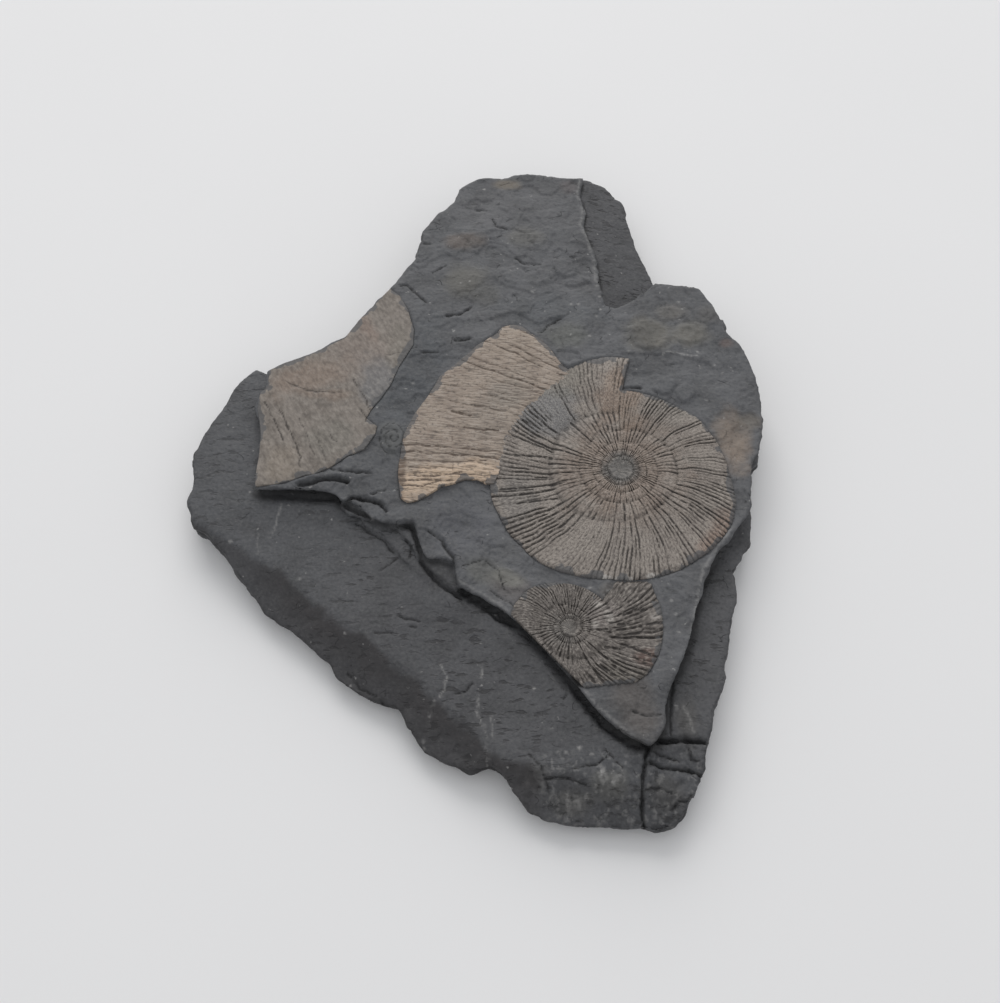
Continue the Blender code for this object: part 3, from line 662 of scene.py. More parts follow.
def coiled_mesh(coil, steps, rows, rings, relief, base, swell, strengths):
    """Ribbed surface of a coil with its grooves and seams as attributes.

    A turn has so many steps, and two rings have so many rows. The strengths of the ribs on the last
    whorl are (angle, strength).
    """
    bm = bmesh.new()
    deep = rings * rows // RINGS_PER_WHORL
    bmesh.ops.create_grid(bm, x_segments=steps, y_segments=deep, size=0.5)
    ribs_map = bm.loops.layers.uv.new("ribs")
    for face in bm.faces:
        whorl, _ = coil.band((face.calc_center_median().y + 0.5) * rings)
        start, width = 0.0, coil.cover
        if whorl > 0:
            start, width = coil.cover + 2.0 * (whorl - 1), 2.0
        outer = coil.radius(0.5, start)
        width_mm = outer - coil.radius(0.5, start + width)
        for loop in face.loops:
            turn, ring = loop.vert.co.x + 0.5, (loop.vert.co.y + 0.5) * rings
            along = (ring - start) / width * width_mm
            loop[ribs_map].uv = (turn * 2.0 * math.pi * outer, along + 50.0 * whorl)
    groove_layer = bm.verts.layers.float.new("groove")
    seam_layer = bm.verts.layers.float.new("seam")
    strengths = np.array(strengths, float)
    for vert in bm.verts:
        column, row = round((vert.co.x + 0.5) * steps), round((vert.co.y + 0.5) * deep)
        turn, ring = column / steps, row * rings / deep
        x, y = coil.place(turn, ring)
        angle = turn * 360.0
        if column == steps:
            turn, ring = 0.0, ring + 2.0
        whorl, across = coil.band(ring)
        size = coil.growth ** (-ring / 4.0)
        bulge = math.sin(math.pi * (0.1 + 0.85 * across))
        waver = 0.2 * noise.noise(Vector((x / 4.0, y / 4.0, 3.0)))
        strength = np.interp(angle, *strengths.T) if whorl == 0 else INNER_STRENGTH
        fade = max(0.0, min(1.0, rings - 0.5 - ring))
        cut = fade * strength * rib_groove((turn + whorl) * coil.ribs + waver, across, whorl)
        inner_edge = 1.0 - min(1.0, across / 0.12) if whorl else max(0.0, (across - 0.94) / 0.06)
        patchy = max(0.0, 0.6 + 1.1 * noise.noise(Vector((x / 1.5, y / 1.5, 9.0))))
        seam = fade * inner_edge * patchy
        vert[groove_layer] = cut
        vert[seam_layer] = seam
        grain = 0.07 * noise.noise(Vector((x / 0.8, y / 0.8, 1.0)))
        grain += 0.12 * noise.noise(Vector((x / 3.0, y / 3.0, 2.0)))
        groove_depth = relief * size ** 0.5 * (cut + 0.8 * seam)
        vert.co = (x, y, base + swell * bulge * size - groove_depth + grain)
    bmesh.ops.remove_doubles(bm, verts=bm.verts[:], dist=WELD)
    return bm


def engrave(bm, lines, depth):
    """Cut more lines into a coiled surface and mark them as grooves."""
    plan = np.array([vert.co.xy[:] for vert in bm.verts])
    _, marks = lines_on(ragged(plan, 0.25, 1.5), lines)
    layer = bm.verts.layers.float["groove"]
    for vert, mark in zip(bm.verts, marks):
        vert[layer] = max(vert[layer], mark)
        vert.co.z -= depth * mark


# %% [markdown]
# A surface becomes a closed plate when its core is filled and its rim is extruded down into the
# shale. The finished piece is scaled to metres in its mesh, so that its object stays at the origin,
# unturned and unscaled, and it takes the place of its CAD node.

# %% Closing and finishing a piece
def close_core(bm, coil, radius):
    """Fill the small hole at the middle of a coil."""
    middle = Vector(coil.centre)
    core = [edge for edge in bm.edges if edge.is_boundary
            and (edge.verts[0].co.xy - middle).length < radius]
    bmesh.ops.holes_fill(bm, edges=core)


def close_below(bm, level):
    """Extrude the rim straight down and close the underside."""
    for vert in extrude_rim(bm):
        vert.co.z = level
    close_bottom(bm)


def make_piece(bm, name, node):
    bmesh.ops.scale(bm, vec=(MM, MM, MM), verts=bm.verts[:])
    for face in bm.faces:
        face.smooth = True
    mesh = bpy.data.meshes.new(name)
    bm.to_mesh(mesh)
    bm.free()
    piece = bpy.data.objects.new(name, mesh)
    bpy.context.collection.objects.link(piece)
    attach(piece, "root")
    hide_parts(node)
    print(name, len(mesh.polygons), "faces")
    return piece


# %% [markdown]
# The large ammonite is the best kept shell, about 62 mm across. Its outer border is uneven, because
# the thin film has broken away in places, so it is written down angle by angle. Some grooves are
# deeper than their neighbours. They are drawn as lines and engraved afterwards.

# %% Large ammonite
SHELL_BOTTOM = 13.0
LARGE = Coil(
    centre=(36.5, -5.2), mouth=90.0, hand=1.0,
    outer=[
        (0, 34.3), (11, 34.8), (20, 34.2), (29, 33.2), (41, 32.6), (56, 32.6), (69, 33.4),
        (78, 33.8), (90, 33.3), (109, 34.0), (120, 34.2), (140, 34.0), (155, 33.5), (167, 32.2),
        (177, 31.4), (197, 31.5), (225, 31.1), (242, 31.0), (254, 29.8), (260, 28.4), (271, 27.0),
        (288, 26.2), (298, 25.5), (310, 25.4), (317, 24.6), (330, 23.9), (345, 23.9), (360, 24.0),
    ],
    seam=[
        (0, 16.8), (23, 18.0), (40, 18.6), (55, 18.6), (96, 18.3), (130, 17.9), (150, 16.6),
        (166, 15.4), (183, 14.8), (211, 13.8), (246, 14.2), (290, 13.7), (325, 12.8), (360, 11.76),
    ],
    growth=1.43, cover=4.0, ribs=76, lean=6.0,
)
LARGE_LINES = [(line, 0.42, 1.0) for line in (
    [(9.5, 10.3), (14.3, 7.9)], [(5.6, 6.3), (12.0, 3.0), (18.6, -0.1)],
    [(9.1, -1.3), (18.8, -1.9)], [(14.6, -8.1), (17.7, -7.8)],
    [(4.3, -11.6), (12.0, -11.0), (21.4, -9.6)], [(9.6, -15.7), (20.1, -13.9)],
)]
LARGE_EDGE = [LARGE.place(turn, 0.0) for turn in np.linspace(0.0, 1.0, 91)]
LARGE_STRENGTHS = [
    (0, 0.7), (40, 0.7), (60, 0.95), (135, 1.0), (150, 0.85), (180, 0.7), (215, 0.75), (235, 0.9),
    (285, 1.0), (320, 0.9), (345, 0.7), (360, 0.7),
]
large_bm = coiled_mesh(LARGE, steps=832, rows=10, rings=14, relief=0.42, base=14.0, swell=0.5,
                       strengths=LARGE_STRENGTHS)
engrave(large_bm, LARGE_LINES, 0.3)
close_core(large_bm, LARGE, 6.0)
close_below(large_bm, SHELL_BOTTOM)
large = make_piece(large_bm, "large_ammonite_shell", "large_ammonite")

# %% [markdown]
# The small ammonite coils the other way, and the broken edge of the bed has cut off its lower left
# side. So the whole coil is made first and a plane then cuts it. Near the large shell it dips,
# because the large shell lies over it.

# %% Small ammonite
SMALL = Coil(
    centre=(22.2, -49.1), mouth=42.0, hand=-1.0,
    outer=[
        (0, 23.8), (20, 23.5), (30, 22.5), (50, 22.2), (63, 22.0), (83, 21.5), (93, 20.5),
        (104, 17.8), (113, 16.5), (121, 16.0), (160, 15.0), (200, 14.5), (251, 14.2), (263, 14.0),
        (276, 13.4), (288, 12.6), (305, 11.6), (325, 11.0), (340, 10.7), (360, 10.6),
    ],
    seam=[
        (0, 10.6), (12, 10.9), (36, 10.1), (65, 9.3), (98, 9.0), (120, 8.5), (160, 7.8),
        (200, 7.2), (251, 6.8), (275, 6.5), (316, 5.6), (350, 5.2), (360, 5.2),
    ],
    growth=1.6, cover=2.0, ribs=50, lean=12.0,
)
SMALL_LINES = [(line, 0.55, 1.0) for line in (
    [(35.1, -46.1), (37.3, -45.4)], [(37.4, -44.8), (40.9, -44.8)], [(33.6, -48.5), (36.0, -48.5)],
    [(33.5, -50.1), (39.3, -49.2)], [(40.7, -48.5), (44.6, -48.0)], [(27.4, -49.8), (30.9, -49.9)],
    [(32.0, -51.9), (39.2, -50.6)], [(39.7, -49.9), (45.9, -49.8)], [(35.1, -52.1), (44.1, -51.9)],
    [(30.4, -54.5), (34.0, -55.0)], [(34.1, -53.7), (43.6, -57.3)], [(37.5, -57.3), (39.5, -58.4)],
    [(29.2, -59.2), (30.5, -60.3), (33.9, -63.3), (36.4, -65.3)], [(32.0, -59.2), (35.1, -61.5)],
    [(27.3, -59.9), (30.4, -64.5)], [(25.8, -61.0), (27.6, -63.3)],
)]
SMALL_EDGE = [SMALL.place(turn, 0.0) for turn in np.linspace(1.0, 0.0, 91)]
SMALL_STRENGTHS = [
    (0, 0.9), (60, 1.1), (85, 0.9), (110, 0.9), (140, 0.5), (200, 0.6), (300, 0.7), (360, 0.7),
]
BROKEN_AT = (8.3, -46.0, 0.0)
BROKEN_TOWARDS = (-0.739, -0.673, 0.0)
DIP = 1.2
DIP_WITHIN = 33.0
small_bm = coiled_mesh(SMALL, steps=560, rows=18, rings=8, relief=0.4, base=13.95, swell=0.45,
                       strengths=SMALL_STRENGTHS)
engrave(small_bm, SMALL_LINES, 0.3)
close_core(small_bm, SMALL, 4.0)
geom = small_bm.verts[:] + small_bm.edges[:] + small_bm.faces[:]
bmesh.ops.bisect_plane(small_bm, geom=geom, plane_co=BROKEN_AT, plane_no=BROKEN_TOWARDS,
                       clear_outer=True)
for vert in small_bm.verts:
    near = (vert.co.xy - Vector(LARGE.centre)).length
    vert.co.z -= DIP * min(1.0, max(0.0, (DIP_WITHIN - near) / 2.0))
close_below(small_bm, SHELL_BOTTOM - 0.1)
small = make_piece(small_bm, "small_ammonite_shell", "small_ammonite")

# %% [markdown]
# The middle piece is part of a whorl of a larger shell, against which the large ammonite lies. No
# coil is left of it, so it starts as a block with its outline, as a bed does. Its ribs fan out from
# a point far to the right, so they are counted by the angle about that point.

# %% Middle shell piece
MIDDLE = [
    (6.1, 39.4), (9.1, 40.4), (11.5, 39.7), (13.8, 37.5), (17.1, 35.0), (19.7, 31.1), (21.5, 27.8),
    (25.0, 24.0), (18.0, 17.0), (12.0, 11.0), (8.0, 3.0), (6.0, -4.8), (4.0, -9.8), (2.0, -9.6),
    (-0.2, -8.5), (-3.4, -8.4), (-6.2, -9.6), (-9.0, -10.3), (-11.4, -12.1), (-15.1, -14.6),
    (-17.6, -15.0), (-19.3, -13.9), (-20.2, -7.2), (-20.1, -4.0), (-19.7, 0.5), (-19.2, 5.0),
    (-18.0, 8.0), (-16.5, 11.6), (-13.5, 16.6), (-11.9, 19.7), (-10.3, 23.3), (-7.7, 25.7),
    (-5.1, 28.5), (-2.5, 31.1), (-0.6, 33.4), (4.4, 37.1),
]
MIDDLE_FAN = (80.0, -8.0)
MIDDLE_RIB = 1.34
MIDDLE_LINES = [
    ([(-6.9, 12.1), (-4.6, 11.2), (-2.2, 10.8)], 0.7, 1.0),
    ([(-3.5, 7.1), (0.6, 6.4), (5.1, 6.2)], 0.5, 0.8),
    ([(-6.6, 4.0), (-6.2, -2.0), (-6.6, -9.0)], 0.35, 0.35),
    ([(-17.0, -3.0), (-8.0, -3.6), (2.0, -3.0)], 0.5, 0.5),
    ([(-19.0, -7.4), (-12.0, -8.0), (-4.0, -6.6)], 0.45, 0.7),
    ([(-19.0, -10.4), (-14.0, -11.0), (-9.0, -8.6)], 0.45, 0.7),
    ([(-18.0, -5.0), (-10.0, -5.6)], 0.4, 0.5),
]


def fan_grooves(phase, across, width):
    """Grooves at whole numbers of a phase, each with a strength of its own and some gaps."""
    index = np.floor(phase + 0.5)
    own = np.array([noise.cell(Vector((number + 0.5, 3.5, 0.5))) for number in index])
    gaps = lumps(np.column_stack([index * 3.7, across / 6.0]), 1.0, 8.0)
    strength = (0.55 + 0.5 * own) * np.clip(0.95 + 1.2 * gaps, 0.3, 1.0)
    return strength * bell(phase - index, width)


def middle_grooves(plan):
    """Depth, 0 to 1, of the grooves and of the drawn lines."""
    away = plan - MIDDLE_FAN
    phase = (np.degrees(np.arctan2(away[:, 1], away[:, 0])) % 360.0) / MIDDLE_RIB
    phase += 0.35 * lumps(plan, 6.0, 2.0, 2)
    grooves = fan_grooves(phase, np.hypot(away[:, 0], away[:, 1]), 0.13)
    grooves *= 0.7 + 0.3 * step(30.0, 14.0, plan[:, 1])
    lines, _ = lines_on(ragged(plan, 0.3, 2.0), MIDDLE_LINES)
    return np.maximum(grooves, lines)


def middle_level(plan):
    """The shell is thicker at its foot, up to a ragged line, and thin at its edge."""
    edge = inside(ragged(plan, 0.5, 1.5), MIDDLE)
    above_line = plan[:, 1] + 0.09 * (plan[:, 0] + 20.0) + 3.0 - 0.8 * lumps(plan, 3.0, 6.0)
    thick = 0.4 * step(0.5, -0.5, above_line)
    level = 14.1 + thick + 0.35 * step(0.0, 2.5, edge) - 0.32 * middle_grooves(plan)
    return level + 0.09 * lumps(plan, 1.0, 3.0) + 0.14 * lumps(plan, 4.0, 9.0)


middle_bm = bed(MIDDLE, middle_level, 0.36, [(SHELL_BOTTOM, 1.0)])
middle = make_piece(middle_bm, "middle_shell", "middle_shell_piece")

# %% [markdown]
# The left piece is a flat part of a broad-ribbed whorl. Its ribs are low, wide folds and no cut
# grooves, so a cosine across them is enough, and it fades out where the film is smooth. A few
# creases are drawn as lines.

# %% Left shell piece
LEFT = [
    (-55.5, 25.1), (-55.4, 20.3), (-57.2, 17.9), (-57.5, 13.0), (-56.4, 8.0), (-55.8, 3.8),
    (-55.9, -0.5), (-56.1, -5.6), (-56.1, -10.4), (-49.1, -9.2), (-44.5, -7.5), (-40.5, -6.3),
    (-37.3, -4.5), (-33.2, -1.2), (-29.2, 0.7), (-26.6, 5.3), (-26.2, 7.7), (-29.2, 10.2),
    (-27.7, 13.3), (-25.5, 16.5), (-23.3, 20.6), (-21.0, 27.0), (-17.7, 33.6), (-17.6, 38.6),
    (-19.4, 45.3), (-21.8, 50.1), (-24.6, 52.6), (-27.6, 48.5), (-29.9, 45.1), (-32.2, 42.3),
    (-34.7, 38.3), (-35.9, 36.0), (-41.2, 32.6), (-44.5, 30.8), (-47.6, 29.4), (-51.5, 27.7),
]
RIB_DIRECTION = [0.86, 0.51]
RIB_SPACING = 5.2
LEFT_LINES = [
    ([(-55.6, 15.0), (-52.6, 8.6), (-50.0, 3.0)], 0.5, 0.65),
    ([(-51.6, 12.6), (-48.6, 6.6), (-46.0, 0.0), (-44.8, -5.0)], 0.5, 0.6),
    ([(-46.6, 10.0), (-43.6, 4.0), (-41.6, -1.6)], 0.45, 0.45),
    ([(-42.4, 5.6), (-40.0, 1.0), (-38.6, -3.0)], 0.5, 0.4),
    ([(-38.6, 6.0), (-36.4, 2.6)], 0.5, 0.5),
    ([(-50.6, 21.6), (-44.2, 18.4), (-36.0, 18.0)], 0.5, 0.5),
    ([(-33.0, 22.0), (-29.6, 16.0), (-27.6, 11.0)], 0.5, 0.5),
    ([(-30.6, 12.6), (-28.6, 9.0)], 0.5, 0.6),
    ([(-24.6, 30.0), (-20.0, 31.0)], 0.4, 0.4),
]


def left_grooves(plan):
    lines, _ = lines_on(ragged(plan, 0.5, 3.0), LEFT_LINES)
    return lines


def left_level(plan):
    across = plan @ RIB_DIRECTION
    fade = step(-32.0, -42.0, plan[:, 0]) * step(22.0, 12.0, plan[:, 1])
    rib = 0.2 * fade * np.cos(2.0 * math.pi * (across + 1.5 * lumps(plan, 12.0, 4.0)) / RIB_SPACING)
    edge = inside(ragged(plan, 0.5, 1.5), LEFT)
    level = 14.05 + rib + 0.2 * step(0.0, 1.5, edge) - 0.3 * left_grooves(plan)
    return level + 0.16 * lumps(plan, 4.0, 8.0, 2) + 0.1 * lumps(plan, 1.1, 6.0)


left_bm = bed(LEFT, left_level, 0.42, [(SHELL_BOTTOM, 1.0)])
left = make_piece(left_bm, "left_shell", "left_shell_piece")

# %% [markdown]
# Relief of the skin. Where the slab is broken across its beds, each thin layer sticks out by a
# different amount. Where it split along a bed, low terraces and flakes are left, with open slits
# between them. All of it is done by moving the points of the joined skin, in numpy. The distance to
# a line or an oval shapes each mark, and noise that bends the plan first keeps them ragged.
#
# The marks themselves are lists. A line has its points, its width and its strength, which is a
# depth in millimetres for a slit. A terrace has its outline and its height, and an oval its centre,
# radii, turn and height: it is the trace of a shell that lies just under the surface.

# %% Marks of the upper bed
SLITS = [
    ([(-9.1, 43.6), (-5.0, 44.3), (-2.3, 46.7)], 0.55, 0.7),
    ([(-6.5, 35.4), (-2.5, 35.7)], 0.6, 0.7),
    ([(-15.0, 31.3), (-11.1, 31.3)], 0.45, 0.4),
    ([(10.0, 63.9), (12.5, 61.7), (16.9, 61.2)], 0.45, 0.5),
    ([(3.6, 77.7), (4.4, 75.1), (7.5, 74.4)], 0.5, 0.5),
    ([(-1.0, 81.5), (2.0, 81.1)], 0.45, 0.4),
    ([(-21.9, 54.0), (-20.0, 54.0), (-14.3, 47.7)], 0.5, 0.5),
    ([(-16.0, 68.6), (-14.1, 68.6)], 0.4, 0.4),
    ([(-13.2, 58.4), (-9.4, 61.0)], 0.4, 0.4),
    ([(15.7, 37.9), (17.2, 38.6), (18.5, 40.6), (22.5, 43.0)], 0.4, 0.5),
    ([(-45.0, -9.6), (-42.3, -9.3), (-39.4, -8.0), (-35.1, -8.0), (-32.8, -8.8)], 0.9, 1.2),
    ([(-37.3, -5.3), (-33.3, -5.9), (-27.1, -6.1)], 0.5, 0.6),
    ([(-26.8, -12.3), (-23.3, -11.1)], 0.5, 0.6),
    ([(-32.9, -14.4), (-31.6, -13.0), (-26.7, -14.2), (-24.4, -15.0), (-22.8, -17.4)], 0.7, 1.0),
    ([(-8.3, -26.8), (-6.0, -30.4), (-5.6, -32.9)], 0.6, 0.8),
    ([(-12.6, -22.6), (-8.6, -25.6), (-7.2, -29.0)], 0.4, 0.4),
    ([(36.4, 19.6), (42.6, 19.6)], 0.6, 0.7),
    ([(36.2, 19.8), (36.4, 23.0), (37.2, 27.0)], 0.6, 0.8),
    ([(46.0, 16.6), (49.0, 14.2)], 0.5, 0.5),
    ([(36.0, -70.2), (39.2, -71.4), (42.6, -71.0)], 0.4, 0.4),
    ([(-3.4, -33.0), (1.6, -31.0), (5.2, -34.0), (6.6, -39.2)], 0.3, 0.2),
    ([(3.0, -39.4), (6.0, -41.4), (9.2, -43.6)], 0.35, 0.3),
]
TERRACES = [
    ([(2.6, 42.3), (7.5, 44.1), (9.4, 45.3), (15.3, 41.6), (18.3, 41.9), (24.6, 44.7),
      (22.0, 40.0),
      (14.0, 38.0), (6.0, 38.6)], -0.35),
    ([(20.6, 63.5), (25.3, 62.6), (27.0, 58.4), (24.6, 57.1), (20.5, 58.6)], 0.4),
    ([(23.8, 56.4), (30.1, 57.0), (31.2, 55.4), (27.0, 54.4), (23.7, 54.7)], 0.35),
    ([(20.8, 32.0), (26.7, 31.2), (27.0, 28.6), (23.0, 27.6), (20.7, 29.0)], -0.5),
    ([(38.0, 30.6), (47.0, 31.2), (58.3, 29.6), (62.5, 27.6), (62.0, 24.6), (50.0, 24.2),
      (37.8, 22.6)], -0.3),
    ([(12.0, 58.0), (19.0, 59.4), (20.0, 55.2), (14.0, 54.0)], 0.25),
    ([(-3.0, 72.0), (9.0, 74.6), (16.0, 70.4), (13.0, 62.0), (2.0, 59.0), (-6.0, 63.0)], -0.22),
    ([(-12.0, 66.0), (-7.0, 75.0), (2.0, 74.0), (1.0, 67.0), (-5.0, 63.0)], 0.2),
    ([(-32.9, -14.4), (-31.6, -12.4), (-26.7, -13.2), (-23.0, -15.6), (-22.6, -21.0),
      (-30.0, -20.0)], -0.45),
    ([(-46.0, -9.2), (-39.4, -7.6), (-34.6, -7.6), (-31.6, -9.6), (-31.0, -14.0), (-47.0, -13.0)],
     -0.5),
    ([(-12.6, -22.0), (-8.0, -25.0), (-5.2, -31.0), (-4.0, -36.0), (-16.0, -36.0), (-17.0, -22.0)],
     -0.3),
    ([(61.6, 11.6), (66.0, 12.8), (72.0, 12.0), (73.0, 6.0), (69.4, 3.0), (68.4, -5.0),
      (64.8, -8.0),
      (64.0, -2.0), (65.2, 4.0)], -0.3),
]
OVALS = [
    ((45.9, 37.3), (5.8, 5.0), -12.0, 0.5),
    ((56.6, 37.6), (4.7, 3.6), 10.0, 0.4),
    ((-21.9, 4.4), (3.5, 4.9), 10.0, 0.28),
    ((2.1, 50.5), (3.4, 3.3), 20.0, 0.18),
    ((23.1, 37.0), (5.2, 4.4), 0.0, 0.22),
    ((51.8, 44.4), (4.4, 2.4), 0.0, 0.25),
    ((49.0, 20.0), (3.2, 2.4), 25.0, 0.5),
    ((54.4, 18.2), (2.4, 3.0), -20.0, 0.45),
    ((8.6, -36.4), (5.0, 3.0), -25.0, 0.3),
]


def spiral_mark(centre, radii, turns, width, strength):
    """Spiral line, the trace of a small coiled shell that lies half buried."""
    shares = np.linspace(0.12, 1.0, round(20 * turns))
    angles = 2.0 * math.pi * turns * shares
    line = []
    for share, angle in zip(shares, angles):
        line.append((centre[0] + share * radii[0] * math.cos(angle),
                     centre[1] + share * radii[1] * math.sin(angle)))
    return line, width, strength


SLITS.append(spiral_mark((-21.9, 4.4), (3.7, 5.0), 2.7, 0.28, 0.12))
# Painted highlights: pale lines along the rims of the terraces, the steps and the upper bed, where
# the edges catch the light.
RIM_HIGHLIGHT_LINES = [
    ([(49.0, 30.9), (51.4, 31.5), (55.4, 30.5), (58.3, 30.5)], 0.45, 0.8),
    ([(57.9, 31.6), (58.9, 31.6)], 0.4, 0.9),
    ([(-34.0, -14.6), (-30.0, -16.6), (-26.0, -19.0)], 0.4, 0.4),
    ([(28.6, 93.0), (27.8, 86.8), (29.2, 80.8), (28.2, 75.6), (30.0, 69.7), (31.6, 62.5),
      (32.2, 54.0)], 0.7, 0.45),
    ([(12.4, -49.4), (17.6, -55.6), (22.6, -62.0), (28.6, -69.6), (34.4, -75.2)], 0.8, 0.4),
    ([(-4.8, -36.8), (1.0, -39.8), (8.2, -45.2)], 0.7, 0.35),
    ([(62.8, -22.4), (58.8, -27.6), (55.0, -34.0), (53.0, -41.6), (50.8, -50.4)], 0.7, 0.45),
]

# %% [markdown]
# The lower bed is fresher and plainer. It has open cracks at its tip, nicks along the foot of the
# cliff, and pale scratches. Specks of dust lie on both beds. Scratches and dust are only colour.

# %% Marks of the lower bed
NICKS = [
    ([(-34.4, -13.1), (-32.7, -15.6), (-29.4, -17.5), (-25.0, -18.6), (-19.4, -20.4),
      (-16.4, -21.2),
      (-14.9, -25.9), (-13.6, -31.0), (-10.6, -35.2), (-7.2, -38.0), (-3.9, -40.4)], 0.75, 0.9),
    ([(-30.4, -19.0), (-27.0, -21.6), (-23.6, -23.6), (-20.8, -27.4)], 0.5, 0.5),
    ([(-18.2, -23.6), (-16.4, -26.4), (-16.6, -29.4)], 0.45, 0.5),
    ([(-19.3, -44.4), (-13.7, -45.8)], 0.5, 0.4),
    ([(-16.1, -47.1), (-14.7, -47.1)], 0.5, 0.4),
    ([(-24.7, -48.7), (-20.1, -48.7)], 0.45, 0.3),
    ([(-4.8, -64.2), (-2.4, -63.6), (-1.0, -61.6)], 0.5, 0.5),
    ([(-23.9, -32.1), (-19.4, -28.4)], 0.4, 0.35),
    ([(2.4, -43.4), (5.6, -46.4), (8.6, -46.6)], 0.7, 0.7),
    # This line runs just under the edge of the upper bed beside the facet: a shallow groove whose
    # dark tone is painted shade under the step.
    ([(29.6, 92.4), (28.8, 86.8), (30.2, 80.8), (29.3, 75.6), (31.2, 69.7), (32.9, 62.5),
      (33.6, 54.0)], 0.6, 0.3),
    ([(22.0, -62.8), (20.4, -66.4)], 0.4, 0.4),
    ([(46.5, -58.5), (45.4, -68.0), (45.0, -74.6)], 0.5, 0.5),
    ([(39.0, -76.6), (43.3, -76.0), (48.2, -75.6), (53.4, -76.2)], 1.1, 2.2),
    ([(39.6, -81.4), (44.6, -82.5), (47.8, -82.3), (51.6, -83.6)], 0.8, 1.2),
    ([(40.6, -78.9), (44.0, -79.6), (46.6, -80.6)], 0.5, 0.6),
    ([(39.4, -77.4), (38.1, -84.5), (37.7, -90.8), (38.6, -96.4)], 0.8, 1.6),
    ([(39.0, -87.4), (41.6, -86.6), (44.6, -87.6)], 0.45, 0.5),
    ([(44.0, -91.4), (46.4, -89.6), (49.4, -88.4)], 0.45, 0.5),
    ([(48.8, -77.6), (49.6, -80.0), (51.4, -80.8)], 0.5, 0.5),
    ([(22.4, -82.6), (27.3, -81.7), (30.6, -79.8), (33.6, -82.8)], 0.4, 0.5),
    ([(16.0, -84.6), (20.0, -84.2), (25.0, -86.0)], 0.45, 0.5),
    ([(29.4, -78.4), (31.4, -80.2)], 0.4, 0.3),
    ([(28.4, -71.8), (30.6, -74.2), (32.6, -73.4)], 0.4, 0.4),
    ([(12.0, -79.0), (15.0, -82.0), (17.0, -88.0)], 0.35, 0.25),
    ([(-31.0, -57.0), (-28.0, -60.6), (-24.0, -63.0)], 0.5, 0.5),
    ([(-22.5, -64.6), (-19.6, -67.0), (-17.7, -69.8)], 0.9, 0.9),
]
SCRATCHES = [
    ([(-8.6, -57.0), (-6.9, -60.5), (-8.4, -65.1), (-11.4, -67.0)], 0.35, 0.6),
    ([(1.1, -57.5), (1.1, -60.5)], 0.45, 0.8),
    ([(-10.1, -66.3), (-11.3, -70.8)], 0.35, 0.5),
    ([(0.6, -64.6), (0.0, -68.4), (1.4, -72.0)], 0.4, 0.6),
    ([(3.6, -70.0), (3.8, -74.6)], 0.4, 0.4),
    ([(2.0, -72.0), (2.8, -80.0), (3.2, -84.0)], 0.35, 0.4),
    ([(-49.8, -13.8), (-50.6, -18.0), (-51.9, -22.7)], 0.4, 0.55),
    ([(-55.0, -21.6), (-54.9, -26.9)], 0.4, 0.35),
    ([(-62.3, -23.5), (-61.3, -23.5)], 0.4, 0.7),
    ([(48.4, -67.4), (49.6, -70.0), (50.4, -73.5)], 0.6, 0.5),
    ([(46.6, -66.4), (46.4, -69.6)], 0.5, 0.4),
    ([(28.9, -83.8), (30.6, -86.2), (32.9, -84.4)], 1.0, 0.5),
    ([(20.6, -87.5), (21.4, -92.6)], 0.6, 0.5),
    ([(23.6, -88.4), (24.0, -92.0)], 0.45, 0.4),
    ([(17.6, -86.0), (18.4, -89.0)], 0.5, 0.4),
    ([(-12.4, -74.2), (-12.0, -76.2)], 0.4, 0.5),
]
DUST = [
    (14.3, 51.9), (24.9, 47.7), (26.8, 47.7), (32.7, 50.1), (29.5, 36.6), (31.6, 43.6),
    (-17.5, 21.2), (14.2, 86.8), (58.6, 27.0), (62.3, 27.4), (64.5, 24.8), (54.1, 48.1),
    (59.4, 16.0), (39.7, 31.6), (18.9, -78.8), (20.5, -78.8), (23.7, -78.3), (19.0, -61.4),
    (13.4, -63.4), (17.2, -73.0), (28.0, -73.6), (23.6, -77.8), (26.4, -79.4), (-32.0, -48.0),
    (-44.0, -34.0), (31.4, -39.4), (33.4, -40.6), (32.0, -41.4), (34.4, -39.2), (30.6, -40.8),
    (46.6, -42.0), (47.4, -45.6), (46.0, -37.8), (48.0, -50.2), (27.2, -38.6),
]
print(len(SLITS + NICKS), "slits and nicks,", len(SCRATCHES + RIM_HIGHLIGHT_LINES), "scratches")

# %% [markdown]
# First the broken sides. The height of a point says which layer it belongs to. Noise moves each
# layer in or out by an amount of its own, which drifts slowly along the side, and smaller noise
# chips it. The points move along the normal of the skin.

# %% Layers along the sides
LAYER = 0.85

points, normals = read_points(slab.data)
plan = points[:, :2]
steep = step(0.25, 0.75, 1.0 - np.abs(normals[:, 2]))
layer = np.floor((points[:, 2] + 0.35 * lumps(plan, 16.0, 2.0)) / LAYER)
layer_relief = lumps(np.column_stack([plan / 6.5, 7.3 * layer]), 1.0)
chips = lumps(points, 3.5, 3.0, 3)
outward = normals * [1.0, 1.0, 0.25]
points = points + outward * (steep * (0.75 * layer_relief + 0.4 * chips))[:, None]
print("layered sides:", int((steep > 0.5).sum()), "of", len(points), "points")

# %% [markdown]
# Then the bedding planes, from the widest forms to the smallest: swells, terraces, ovals, flakes
# and cracks are added up to one relief. Under the shells it is faded out, so that the shale never
# comes through a shell.

# %% Relief of the bedding planes
UNDER_SHELLS = PLATE_TOP - 0.45


def reach(plan, centre, radii, turn):
    """How far out in an oval each point lies: 0 at its centre and 1 at its edge."""
    along = np.array([math.cos(math.radians(turn)), math.sin(math.radians(turn))])
    away = plan - centre
    return np.hypot(away @ along / radii[0], away @ [-along[1], along[0]] / radii[1])


